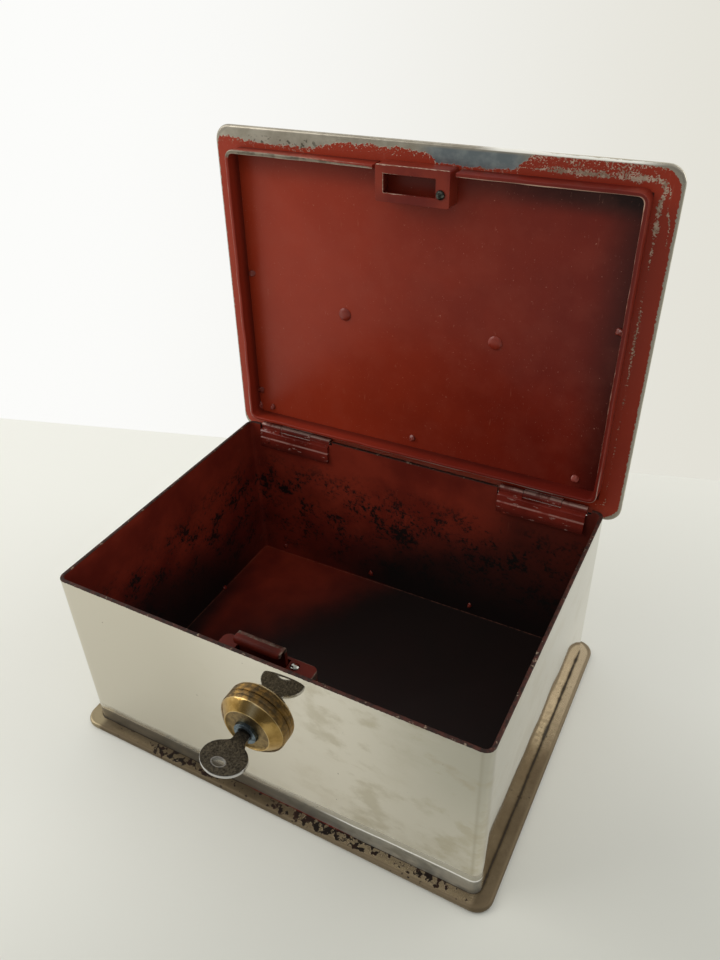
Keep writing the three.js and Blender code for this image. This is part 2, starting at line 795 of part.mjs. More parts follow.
const strongbox = new THREE.Group();
strongbox.name = 'strongbox';
for (const [name, build, finish] of pieces) {
  const mesh = new THREE.Mesh(build(), new THREE.MeshStandardMaterial(finishes[finish]));
  mesh.name = name;
  strongbox.add(mesh);
}

export default strongbox;
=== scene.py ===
"""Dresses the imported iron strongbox: old mirror nickel outside, worn red oxide paint inside.

Metres, X to the right, Y to the hinges, Z up. Patterns are laid out in millimetres on Object coordinates.
The lid's patterns are drawn as on the shut lid and turned open with it.
"""

import json
import logging
import math
from dataclasses import dataclass
from enum import Enum
from functools import reduce
from typing import Any, Callable, Sequence

import bmesh
import bpy
import numpy as np
from mathutils import Matrix, Vector


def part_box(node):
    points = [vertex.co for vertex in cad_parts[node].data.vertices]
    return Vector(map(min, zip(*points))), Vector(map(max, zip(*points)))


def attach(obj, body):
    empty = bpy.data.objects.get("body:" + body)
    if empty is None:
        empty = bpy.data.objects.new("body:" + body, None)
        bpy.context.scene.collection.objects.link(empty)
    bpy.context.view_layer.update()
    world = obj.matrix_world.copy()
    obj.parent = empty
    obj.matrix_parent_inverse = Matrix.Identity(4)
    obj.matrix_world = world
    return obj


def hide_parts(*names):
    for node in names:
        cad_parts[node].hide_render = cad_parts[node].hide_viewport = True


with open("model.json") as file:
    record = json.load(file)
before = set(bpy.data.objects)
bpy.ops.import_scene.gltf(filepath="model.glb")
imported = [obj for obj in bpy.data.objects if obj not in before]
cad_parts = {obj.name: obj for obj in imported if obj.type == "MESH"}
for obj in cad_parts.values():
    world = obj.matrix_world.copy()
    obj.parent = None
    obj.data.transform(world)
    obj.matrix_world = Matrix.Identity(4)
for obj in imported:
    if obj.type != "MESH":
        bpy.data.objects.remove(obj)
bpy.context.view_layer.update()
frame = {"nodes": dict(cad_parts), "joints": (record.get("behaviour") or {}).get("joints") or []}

LOG = logging.getLogger("strongbox")
MM = 0.001
MIX = "ShaderNodeMix"
VECTOR = "ShaderNodeVectorMath"
SENSOR_MM = 36.0
SHARP_DEG = 32.0


class Side(Enum):
    """The two sides of a pair, with the sign that each has along X."""

    LEFT = -1
    RIGHT = 1


class Draw(Enum):
    """How a pattern's coordinates lie: as the box stands, or turned back to the shut lid."""

    STANDING = "standing"
    ON_LID = "on_lid"


def node_box(name: str) -> tuple[np.ndarray, np.ndarray]:
    """Gives a CAD node's lowest and highest corner in millimetres."""
    low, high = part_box(name)
    return np.array(low) / MM, np.array(high) / MM


@dataclass(frozen=True)
class Layout:
    """Sizes of the box in millimetres, most of them read from the frame."""

    half_x: float
    half_y: float
    floor: float
    rim: float
    hinge_y: float
    hinge_z: float
    open_angle: float
    wall: float = 2.0
    corner: float = 5.0
    seat_gap: float = 0.3
    lid_thick: float = 3.5
    plate_corner: float = 9.0
    lid_over: float = 7.5
    base_over: float = 7.0

    @property
    def front(self) -> float:
        """Y of the body's front face."""
        return -self.half_y

    @property
    def lid_under(self) -> float:
        """Height of the shut lid's underside."""
        return self.rim + self.seat_gap

    def opened(self, points: np.ndarray) -> np.ndarray:
        """Turns points of the shut lid about the hinge line by the open angle.

        Args:
            points: rows of x, y, z in millimetres on the shut lid.

        Returns:
            The same points on the open lid.
        """
        turn, shift = self.opening()
        return points @ turn.T + shift

    def opening(self) -> tuple[np.ndarray, np.ndarray]:
        """Gives the rotation and shift that open the lid, in millimetres."""
        c, s = math.cos(self.open_angle), math.sin(self.open_angle)
        turn = np.array([[1.0, 0.0, 0.0], [0.0, c, s], [0.0, -s, c]])
        hinge = np.array([0.0, self.hinge_y, self.hinge_z])
        return turn, hinge - turn @ hinge


def read_layout() -> Layout:
    """Reads the box's sizes from the frame."""
    low, high = node_box("body_shell")
    joint = next(j for j in frame["joints"] if j["name"] == "lid_hinge")
    return Layout(half_x=float(high[0]), half_y=float(high[1]), floor=float(low[2]), rim=float(high[2]),
                  hinge_y=joint["pos_m"][1] / MM, hinge_z=joint["pos_m"][2] / MM, open_angle=math.radians(91.8))


PLAN = read_layout()


def hex_colour(code: str) -> tuple[float, float, float, float]:
    """Turns an sRGB hex colour into linear light.

    Args:
        code: six hex digits after a number sign.

    Returns:
        Red, green, blue and an opaque alpha.
    """
    levels = [int(code[i:i + 2], 16) / 255 for i in (1, 3, 5)]
    light = [v / 12.92 if v <= 0.04045 else ((v + 0.055) / 1.055) ** 2.4 for v in levels]
    return (*light, 1.0)


def add_node(tree: bpy.types.NodeTree, kind: str, inputs: dict | None = None, **settings: Any) -> Any:
    """Adds a node, sets its properties and fills or links its inputs.

    Args:
        tree: the node tree.
        kind: the node's type name.
        inputs: input name or index, to a value, a hex colour, or the socket or field that feeds it.
        **settings: properties of the node.

    Returns:
        The new node.
    """
    node = tree.nodes.new(kind)
    for name, value in settings.items():
        setattr(node, name, value)
    for key, value in (inputs or {}).items():
        value = value.socket if isinstance(value, Field) else value
        if isinstance(value, bpy.types.NodeSocket):
            tree.links.new(value, node.inputs[key])
        else:
            node.inputs[key].default_value = hex_colour(value) if isinstance(value, str) else value
    return node


def infix(how: str, turned: bool = False) -> Callable:
    """Makes one operator of a field.

    Args:
        how: the sum, such as ADD.
        turned: True where the field is the sum's right side, as in 1 - field.

    Returns:
        The operator's method.
    """
    def work(own: "Field", other: Any = 0.0) -> "Field":
        """Works out the sum on the field and another value."""
        a, b = (other, own) if turned else (own, other)
        return Field(own.tree, add_node(own.tree, "ShaderNodeMath", {0: a, 1: b}, operation=how).outputs[0])

    return work


@dataclass(frozen=True)
class Field:
    """A value that varies over a surface: a socket that stands in sums with +, -, *, / and abs()."""

    tree: bpy.types.NodeTree
    socket: bpy.types.NodeSocket

    __add__, __radd__ = infix("ADD"), infix("ADD", True)
    __sub__, __rsub__ = infix("SUBTRACT"), infix("SUBTRACT", True)
    __mul__, __rmul__ = infix("MULTIPLY"), infix("MULTIPLY", True)
    __truediv__, __abs__ = infix("DIVIDE"), infix("ABSOLUTE")


@dataclass
class Look:
    """What a surface shows: colour, roughness, how metallic it is, and its relief in millimetres."""

    colour: Any
    rough: Any
    metal: Any
    relief: Any = 0.0


@dataclass
class Wiring:
    """A node tree being wired, with the sums that every pattern is made of."""

    tree: bpy.types.NodeTree

    def put(self, kind: str, inputs: dict | None = None, out: int | str = 0, **settings: Any) -> Field:
        """Adds a node and gives one of its outputs."""
        return Field(self.tree, add_node(self.tree, kind, inputs, **settings).outputs[out])

    def axes(self, vector: Field) -> list[Field]:
        """Splits a vector into its three numbers."""
        return [Field(self.tree, out) for out in add_node(self.tree, "ShaderNodeSeparateXYZ", {0: vector}).outputs]

    def sum(self, how: str, a: Any, b: Any = 0.0, clamp: bool = False) -> Field:
        """Works out one sum on two values, such as ARCTAN2, or an ADD held between 0 and 1."""
        return self.put("ShaderNodeMath", {0: a, 1: b}, operation=how, use_clamp=clamp)

    def most(self, *values: Any) -> Field:
        """Gives the largest of some values."""
        return reduce(lambda a, b: self.sum("MAXIMUM", a, b), values)

    def least(self, *values: Any) -> Field:
        """Gives the smallest of some values."""
        return reduce(lambda a, b: self.sum("MINIMUM", a, b), values)

    def both(self, *masks: Any) -> Field:
        """Multiplies masks: 1 where all of them are 1."""
        return reduce(lambda a, b: a * b, masks)

    def step(self, value: Any, low: float, high: float, low_out: float = 0.0, high_out: float = 1.0) -> Field:
        """Gives a smooth step of a value from one number to another."""
        inputs = {0: value, 1: low, 2: high, 3: low_out, 4: high_out}
        return self.put("ShaderNodeMapRange", inputs, interpolation_type="SMOOTHSTEP")

    def between(self, value: Any, low: float, high: float, soft: float) -> Field:
        """Gives 1 from one number to another and 0 outside, with soft ends."""
        return self.step(value, low - soft, low + soft) * self.step(value, high + soft, high - soft)

    def near(self, value: Any, centre: float, half: float, soft: float) -> Field:
        """Gives 1 within half of a centre and 0 beyond, with a soft end."""
        return self.step(abs(value - centre), half + soft, half - soft)

    def tint(self, mask: Any, under: Any, top: Any) -> Field:
        """Lays one colour over another where the mask is 1."""
        return self.put(MIX, {0: mask, 6: under, 7: top}, 2, data_type="RGBA")

    def layers(self, under: Any, *coats: tuple[Any, Any]) -> Any:
        """Lays colours over another in turn, each given after its own mask."""
        return reduce(lambda colour, coat: self.tint(coat[0], colour, coat[1]), coats, under)

    def dye(self, look: Look, mask: Any, top: Any) -> None:
        """Lays a colour over a look's own where the mask is 1."""
        look.colour = self.tint(mask, look.colour, top)

    def over(self, mask: Any, under: Look, top: Look) -> Look:
        """Lays one look over another where the mask is 1."""
        pairs = ((under.rough, top.rough), (under.metal, top.metal), (under.relief, top.relief))
        return Look(self.tint(mask, under.colour, top.colour),
                    *(self.put(MIX, {0: mask, 2: a, 3: b}, data_type="FLOAT") for a, b in pairs))


class Canvas(Wiring):
    """One material being painted: its node tree and the coordinates that its patterns use, in millimetres."""

    def __init__(self, name: str, draw: Draw = Draw.STANDING) -> None:
        """Starts a material.

        Args:
            name: the material's name.
            draw: how the patterns' coordinates lie.
        """
        self.material = bpy.data.materials.new(name)
        self.material.use_nodes = True
        super().__init__(self.material.node_tree)
        self.tree.nodes.clear()
        source = self.put("ShaderNodeTexCoord", out="Object")
        self.place = self.put(VECTOR, {0: source, 1: (1 / MM,) * 3}, operation="MULTIPLY")
        if draw is Draw.ON_LID:
            turn, shift = PLAN.opening()
            shut = {"Location": (-turn.T @ shift).tolist(), "Rotation": (PLAN.open_angle, 0, 0)}
            self.place = self.put("ShaderNodeMapping", {"Vector": self.place, **shut})
        self.x, self.y, self.z = self.axes(self.place)

    def grain(self, size: float, detail: float = 4.0, seed: float = 0.0, stretch: Sequence = (1, 1, 1)) -> Field:
        """Gives cloudy noise about 0.5 whose features measure size millimetres, longer where stretched."""
        at = self.place
        if tuple(stretch) != (1, 1, 1):
            at = self.put(VECTOR, {0: at, 1: tuple(1 / s for s in stretch)}, operation="MULTIPLY")
        inputs = {"Vector": at, "W": seed, "Scale": 1 / size, "Detail": detail, "Roughness": 0.6}
        return self.put("ShaderNodeTexNoise", inputs, noise_dimensions="4D")

    def mottle(self, size: float, detail: float, low: float, high: float, seed: float,
               stretch: Sequence = (1, 1, 1)) -> Field:
        """Gives soft clouds: the grain stepped from one level to another."""
        return self.step(self.grain(size, detail, seed, stretch), low, high)

    def patches(self, size: float, level: float, soft: float = 0.02, detail: float = 5.0,
                seed: float = 0.0, stretch: Sequence = (1, 1, 1)) -> Field:
        """Gives a mask of ragged patches where the grain rises above a level."""
        return self.mottle(size, detail, level - soft, level + soft, seed, stretch)

    def length(self, a: Any, b: Any) -> Field:
        """Gives the distance that two offsets at right angles make."""
        return self.put(VECTOR, {0: self.put("ShaderNodeCombineXYZ", {0: a, 1: b})}, "Value", operation="LENGTH")

    def outside(self, half_x: float, half_y: float, radius: float, y: Any = None) -> Field:
        """Gives the distance outside a round-cornered rectangle about the centre, in millimetres.

        The distance is the length of the part of (|x|, |y|) beyond the straight sides, less the radius,
        and inside it is the larger of the two shortfalls.

        Args:
            half_x: half the rectangle's width.
            half_y: half its depth.
            radius: radius of its corners.
            y: stands in for the Y coordinate where the rectangle isn't about the centre.

        Returns:
            The distance, below zero inside.
        """
        dx = abs(self.x) - (half_x - radius)
        dy = abs(self.y if y is None else y) - (half_y - radius)
        far = self.length(self.most(dx, 0.0), self.most(dy, 0.0))
        return far + self.least(self.most(dx, dy), 0.0) - radius

    def off_wall(self) -> Field:
        """Gives the distance outside the body's outer face, in millimetres."""
        return self.outside(PLAN.half_x, PLAN.half_y, PLAN.corner)

    def finish(self, look: Look, gloss: float = 0.5) -> bpy.types.Material:
        """Makes the shader of a look and closes the material.

        Args:
            look: colour, roughness, metal and relief.
            gloss: how strongly the parts that aren't metal mirror, 0.5 for a fresh varnish.

        Returns:
            The finished material.
        """
        bump = self.put("ShaderNodeBump", {"Height": look.relief, "Distance": MM, "Strength": 1.0})
        shader = self.put("ShaderNodeBsdfPrincipled", {
            "Base Color": look.colour, "Roughness": look.rough, "Metallic": look.metal, "Normal": bump,
            "Specular IOR Level": gloss})
        add_node(self.tree, "ShaderNodeOutputMaterial", {"Surface": shader})
        return self.material


@dataclass(frozen=True)
class MirrorNickel:
    """Nickel plate on sheet steel, buffed to a mirror: a warm, nearly sharp reflection with faint tea stains."""

    plate: str = "#EAE4D7"
    stain: str = "#C4B89E"
    # Colours of painted reflection: the plate dimmer towards the right and higher up, and darker at the left.
    dim_reflection: str = "#C2BEB1"
    shade: str = "#CDC7B8"
    tea: str = "#AFA384"
    speck: str = "#4A3B2A"
    stain_mm: float = 26.0
    speck_mm: float = 2.6

    def look(self, c: Canvas) -> Look:
        """Gives the stained plate: broad stains, a few pin specks, a trace of buffing waves, and painted reflection
        that darkens it in places.
        """
        cloud = c.patches(self.stain_mm, 0.60, 0.10, 6, seed=1.7, stretch=(1.3, 1.3, 0.8))
        smear = c.patches(9, 0.66, 0.05, 5, seed=4.1, stretch=(1.6, 1.6, 0.7))
        # Painted reflection: the plate laid darker at the left, dimmer towards the right and higher up, and along a
        # line beside the front's right corner.
        dim_reflection = c.step(c.x, 45, 115) * c.step(c.z, 20, 100, 0.4, 1.0)
        corner_reflection = c.near(c.x, PLAN.half_x - 4.2, 0.6, 0.9) * c.step(c.y, PLAN.front + 2, PLAN.front + 1) * 0.45
        tea = c.grain(13, 7, seed=5.7, stretch=(1.5, 1.5, 1)) + c.grain(45, 2, seed=6.6) * 0.5
        tea = c.step(tea, 0.76, 0.92) * c.step(c.x, -5, 45) * 0.4
        speck = c.patches(self.speck_mm, 0.765, 0.012, 2, seed=9.4)
        colour = c.layers(self.plate, (cloud * 0.3, self.stain), (smear * 0.2, self.stain),
                          (c.step(c.x, 30, -60), self.shade), (dim_reflection, self.dim_reflection), (corner_reflection, "#A9A392"),
                          (tea, self.tea), (speck * 0.85, self.speck))
        return Look(colour, cloud * 0.05 + 0.035 + speck * 0.4, 1.0, c.grain(55, 1, seed=2.2) * 0.28)


@dataclass(frozen=True)
class TarnishedNickel:
    """Nickel plate left unpolished: tan to umber tarnish, satin, pitted with near-black rust."""

    bright: str = "#AC9C80"
    mid: str = "#8B7A61"
    dark: str = "#4C4030"
    rust: str = "#1D130D"
    cloud_mm: float = 30.0
    rust_mm: float = 2.0

    def look(self, c: Canvas) -> Look:
        """Gives the tarnish in clouds with fine mottling."""
        clouds = c.mottle(self.cloud_mm, 5, 0.36, 0.62, seed=3.3)
        colour = c.tint(clouds, self.bright, self.mid)
        fine = c.mottle(2.2, 6, 0.42, 0.62, seed=5.5)
        colour = c.tint(fine * 0.3, colour, self.dark)
        return Look(colour, fine * 0.12 + 0.24, 0.92, c.grain(1.1, 3, seed=8.0) * 0.03)

    def rusted(self, c: Canvas, look: Look, where: Any) -> Look:
        """Eats rust pits into a look where the mask allows it."""
        grain = c.grain(self.rust_mm, 8, seed=6.2, stretch=(1.5, 1.5, 1))
        rust = c.tint(c.mottle(5, 3, 0.42, 0.6, seed=6.9), self.rust, "#2E1B13")
        return c.over(c.step(grain + where * 0.2, 0.66, 0.69), look, Look(rust, 0.75, 0.1, grain * 0.12))


@dataclass(frozen=True)
class BareSteel:
    """Sheet worn through its paint: grey-beige plated steel, dull, with fine scratches."""

    tone: str = "#A99A86"
    dark: str = "#6E6354"
    rough: float = 0.42

    def look(self, c: Canvas) -> Look:
        """Gives the worn metal in two tones."""
        colour = c.tint(c.mottle(4, 6, 0.4, 0.65, seed=11), self.tone, self.dark)
        return Look(colour, self.rough, 0.85, c.grain(0.6, 2, seed=12) * 0.02)


@dataclass(frozen=True)
class RedOxide:
    """Brushed red oxide paint, half gloss: deep brick red, faint brush relief, pale rubs and pin chips."""

    lit: str = "#8A2C1B"
    deep: str = "#6B1D12"
    rub: str = "#A9604C"
    soot: str = "#100D0D"
    rough: float = 0.33
    gloss: float = 0.25

    def look(self, c: Canvas, grime_and_shade: Any = None) -> Look:
        """Gives the paint with cloudy colour, pin chips and short rubs.

        Args:
            c: the material being painted.
            grime_and_shade: mask of painted shade that darkens the paint, or None for clouds alone.

        Returns:
            The paint's look.
        """
        cloud = c.mottle(45, 4, 0.35, 0.65, seed=21)
        # Painted shade: a given mask pulls the clouds towards the deeper red.
        if grime_and_shade is not None:
            cloud = c.sum("ADD", (cloud - 0.5) * 0.12, grime_and_shade, True)
        colour = c.tint(cloud, self.lit, self.deep)
        chips = c.patches(2.4, 0.735, 0.02, 3, seed=23)
        colour = c.tint(chips * 0.5, colour, self.rub)
        rubs = c.patches(2.0, 0.69, 0.03, 3, seed=25, stretch=(0.7, 7, 7)) * 0.35
        colour = c.tint(rubs * c.patches(38, 0.5, 0.08, 2, seed=26), colour, self.rub)
        peel = c.grain(1.6, 2, seed=27) * 0.035
        brush = c.grain(7, 3, seed=28, stretch=(3, 1, 1)) * 0.05
        rough = c.grain(18, 3, seed=29) * 0.16 + (self.rough - 0.08)
        return Look(colour, rough, 0.0, peel + brush)


@dataclass(frozen=True)
class TurnedBrass:
    """Turned brass, handled for decades: warm gold where it is rubbed, brown patina and spots elsewhere."""

    gold: str = "#AE8B4E"
    brown: str = "#80633A"
    patina: str = "#5F503A"
    satin: str = "#917A4F"

    def look(self, c: Canvas, axis: tuple[float, float], ring: float, band_y: float) -> Look:
        """Gives the boss's three zones, told apart by depth along Y and distance from the boss's axis, with painted
        reflections on the cone and painted highlights on two edges.

        Args:
            c: the material being painted.
            axis: X and Z of the boss's axis.
            ring: radius of the bright ring round the dished face.
            band_y: Y where the cone meets the band.

        Returns:
            The look of the whole boss.
        """
        across = c.x - axis[0]
        up = c.z - axis[1]
        radius = c.length(across, up)
        mottle = c.mottle(7, 6, 0.36, 0.66, seed=31)
        colour = c.tint(mottle, self.gold, self.brown)
        worn = c.tint(mottle, "#C2A062", "#94743C")
        # Painted reflections: pale and dark streaks laid on the cone by angle round the boss's axis.
        around = c.sum("ARCTAN2", up, across)
        for middle, half, soft, tone, much in ((1.33, 0.07, 0.2, "#FFF0C8", 0.7), (0.95, 0.1, 0.2, "#6B4F22", 0.6),
                                               (0.55, 0.1, 0.2, "#CFAC68", 0.4), (0.2, 0.15, 0.25, "#7A5C2B", 0.5),
                                               (-0.9, 0.2, 0.3, "#7D6130", 0.4), (2.6, 0.2, 0.3, "#7D6130", 0.5)):
            worn = c.tint(c.near(around, middle, half, soft) * much, worn, tone)
        cone = Look(worn, mottle * 0.12 + 0.1, 1.0, c.grain(6, 2, seed=33) * 0.12)
        high = c.step(up, -9, 13)
        dark = c.mottle(3.5, 8, 0.38, 0.6, seed=34) * high
        band = Look(c.tint(dark, colour, self.patina), dark * 0.12 + 0.42, 0.9, c.grain(1.2, 4, seed=35) * 0.05)
        look = c.over(c.step(c.y, band_y - 0.35, band_y + 0.35), cone, band)
        rings = c.sum("SINE", radius * (2 * math.pi / 0.55)) * 0.012
        face = Look(c.tint(c.mottle(2.5, 6, 0.4, 0.65, seed=36), self.satin, "#715C39"), 0.38, 1.0, rings)
        inner = c.step(radius, ring - 0.3, ring - 0.65)
        look = c.over(inner, look, face)
        # Painted highlights: pale lines along the ring's edge and where the cone meets the band.
        lines = c.most(c.near(radius, ring, 0.18, 0.12), c.near(c.y, band_y, 0.14, 0.12))
        c.dye(look, lines * 0.6, "#E0C58D")
        spots = c.patches(1.7, 0.72, 0.02, 3, seed=37)
        return c.over(spots * 0.9, look, Look("#2A1C10", 0.6, 0.4, -0.03))


@dataclass(frozen=True)
class SmallMetal:
    """A small bare metal piece: its colour, a darker grime in the low spots, and its roughness."""

    name: str
    tone: str
    grime_and_shade: str
    rough: float
    grime_mm: float = 2.2
    metal: float = 1.0

    def material(self, draw: Draw = Draw.STANDING) -> bpy.types.Material:
        """Paints the metal with grime in patches and a fine worn relief."""
        c = Canvas(self.name, draw)
        mask = c.step(c.grain(self.grime_mm, 6, seed=41), 0.42, 0.62)
        colour = c.tint(mask, self.tone, self.grime_and_shade)
        rough = mask * 0.2 + self.rough
        relief = c.grain(0.7, 3, seed=42) * 0.015
        return c.finish(Look(colour, rough, self.metal, relief))


# Zinc die casting, aged blue-grey and dull: the lock cylinder's crescent round the key.
CAST_ZINC = SmallMetal("zinc_cast_aged", "#71808B", "#48545D", 0.34)
# Steel worn smooth by use, with oil-dark hollows: pins, cam and trigger.
RUBBED_STEEL = SmallMetal("steel_trigger_polished", "#A9ABA5", "#7C7E78", 0.14, 5.0)
WORN_STEEL = SmallMetal("steel_worn_smooth", "#6A6C65", "#2E2F2C", 0.24)
# Oiled steel, near black: the plug's face and keyway.
OILED_STEEL = SmallMetal("steel_oiled_dark", "#2B2C2A", "#121211", 0.42)


def grid_faces(rows: int, columns: int, wrap_rows: bool, wrap_columns: bool) -> np.ndarray:
    """Gives the four corners of each cell of a grid of points, row by row.

    Args:
        rows: rows of points.
        columns: points in a row.
        wrap_rows: True if the last row joins the first.
        wrap_columns: True if each row closes on itself.

    Returns:
        One row of four point numbers per face.
    """
    r = np.arange(rows if wrap_rows else rows - 1)[:, None]
    k = np.arange(columns if wrap_columns else columns - 1)[None, :]
    r2, k2 = (r + 1) % rows, (k + 1) % columns
    corners = np.broadcast_arrays(r * columns + k, r * columns + k2, r2 * columns + k2, r2 * columns + k)
    return np.stack(corners, -1).reshape(-1, 4)


def cleaned(mesh: bpy.types.Mesh, merge: float, sharp_deg: float, flat_deg: float = 0.0) -> None:
    """Merges a mesh's double points, turns its faces outwards and shades it smooth.

    Args:
        mesh: the mesh.
        merge: points closer than this many metres become one.
        sharp_deg: edges that turn more than this stay sharp.
        flat_deg: faces that meet at less than this become one, where it isn't 0.
    """
    shape = bmesh.new()
    shape.from_mesh(mesh)
    bmesh.ops.remove_doubles(shape, verts=shape.verts, dist=merge)
    if flat_deg:
        bmesh.ops.dissolve_limit(shape, angle_limit=math.radians(flat_deg), verts=shape.verts, edges=shape.edges)
    bmesh.ops.recalc_face_normals(shape, faces=shape.faces)
    shape.to_mesh(mesh)
    shape.free()
    mesh.shade_smooth()
    mesh.set_sharp_from_angle(angle=math.radians(sharp_deg))


def linked(name: str, data: Any) -> bpy.types.Object:
    """Makes an object of a mesh, lamp or camera and links it to the scene."""
    obj = bpy.data.objects.new(name, data)
    bpy.context.scene.collection.objects.link(obj)
    return obj


def make_object(name: str, points: np.ndarray, faces: list, sharp_deg: float = 35.0) -> bpy.types.Object:
    """Makes a closed, smooth-shaded mesh object at the origin.

    Args:
        name: the piece's name.
        points: rows of x, y, z in millimetres.
        faces: lists of point numbers.
        sharp_deg: edges that turn more than this stay sharp.

    Returns:
        The object, linked to the scene.
    """
    mesh = bpy.data.meshes.new(name)
    mesh.from_pydata((points * MM).tolist(), [], faces)
    cleaned(mesh, 1e-7, sharp_deg)
    return linked(name, mesh)


def dress(obj: bpy.types.Object, body: str, slot: str, material: bpy.types.Material, *nodes: str) -> bpy.types.Object:
    """Gives a piece its material, hangs it on its body and hides the CAD nodes that it stands for.

    Args:
        obj: the new piece.
        body: the CAD body that carries it.
        slot: the record's material slot; not used.
        material: its finish.
        *nodes: CAD nodes that it replaces.

    Returns:
        The piece.
    """
    obj.data.materials.clear()
    obj.data.materials.append(material)
    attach(obj, body)
    if nodes:
        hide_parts(*nodes)
    LOG.info("%s: %d faces on %s", obj.name, len(obj.data.polygons), body)
    return obj


def softened(node: str, width: float, segments: int = 3) -> bpy.types.Object:
    """Copies a CAD node, merges it and rounds its sharp edges, as handling and paint round them.

    Args:
        node: the CAD node.
        width: the rounding in millimetres.
        segments: faces across the rounding.

    Returns:
        The softened copy.
    """
    mesh = frame["nodes"][node].data.copy()
    mesh.name = f"{node}_worn"
    cleaned(mesh, 2e-6, SHARP_DEG, flat_deg=0.6)
    obj = linked(mesh.name, mesh)
    bevel = obj.modifiers.new("worn_edges", "BEVEL")
    bevel.width = width * MM
    bevel.segments = segments
    bevel.limit_method = "ANGLE"
    bevel.angle_limit = math.radians(SHARP_DEG)
    bevel.harden_normals = True
    return obj


def wear(node: str, body: str, slot: str, material: bpy.types.Material, width: float, segments: int = 3) -> None:
    """Puts a softened, dressed copy in a CAD node's place.

    Args:
        node: the CAD node.
        body: the CAD body that carries it.
        slot: the record's material slot.
        material: its finish.
        width: the rounding in millimetres.
        segments: faces across the rounding.
    """
    dress(softened(node, width, segments), body, slot, material, node)


@dataclass(frozen=True)
class RoundRectangle:
    """A rectangle with round corners about the centre line X = 0, walked anticlockwise from its front left."""

    half_x: float
    y0: float
    y1: float
    radius: float
    step: float = 2.0
    corner_points: int = 9

    def walk(self) -> tuple[np.ndarray, np.ndarray]:
        """Gives points along the outline and their outward normals.

        Each straight side is a row of evenly spaced points, and each corner is centre plus radius times
        (cos a, sin a) while a turns through a quarter.

        Returns:
            Points and unit normals in the plane.
        """
        points, normals = [], []
        centres = [(self.half_x - self.radius, self.y0 + self.radius, -90),
                   (self.half_x - self.radius, self.y1 - self.radius, 0),
                   (-self.half_x + self.radius, self.y1 - self.radius, 90),
                   (-self.half_x + self.radius, self.y0 + self.radius, 180)]
        for number, (cx, cy, start) in enumerate(centres):
            a = np.radians(np.linspace(start, start + 90, self.corner_points))
            out = np.stack([np.cos(a), np.sin(a)], -1)
            arc = np.array([cx, cy]) + self.radius * out
            nx, ny, following = centres[(number + 1) % 4]
            turn = math.radians(following)
            first = np.array([nx, ny]) + self.radius * np.array([math.cos(turn), math.sin(turn)])
            count = max(2, int(np.linalg.norm(first - arc[-1]) / self.step))
            t = (np.arange(1, count) / count)[:, None]
            side = arc[-1] + t * (first - arc[-1])
            points += [arc, side]
            normals += [out, np.repeat(out[-1:], len(side), 0)]
        return np.concatenate(points), np.concatenate(normals)


def swept(points: np.ndarray, normals: np.ndarray, inset: np.ndarray, height: np.ndarray) -> np.ndarray:
    """Carries a profile along an outline: point minus inset times normal, at the profile's height.

    Args:
        points: N outline points in the plane.
        normals: their outward normals.
        inset: M insets, or N by M.
        height: M heights, or N by M.

    Returns:
        N by M by 3 points.
    """
    inset = np.broadcast_to(inset, (len(points), np.shape(inset)[-1]))
    height = np.broadcast_to(height, inset.shape)
    flat = points[:, None, :] - inset[..., None] * normals[:, None, :]
    return np.concatenate([flat, height[..., None]], -1)


def ripple(t: np.ndarray, seed: int, waves: int = 9) -> np.ndarray:
    """Gives a gentle random line between about -1 and 1: a sum of sines with seeded lengths and phases."""
    rng = np.random.default_rng(seed)
    total = np.zeros_like(t, dtype=float)
    for _ in range(waves):
        total += rng.uniform(0.3, 1.0) * np.sin(t * rng.uniform(0.02, 0.35) + rng.uniform(0, 6.28))
    return total / math.sqrt(waves)


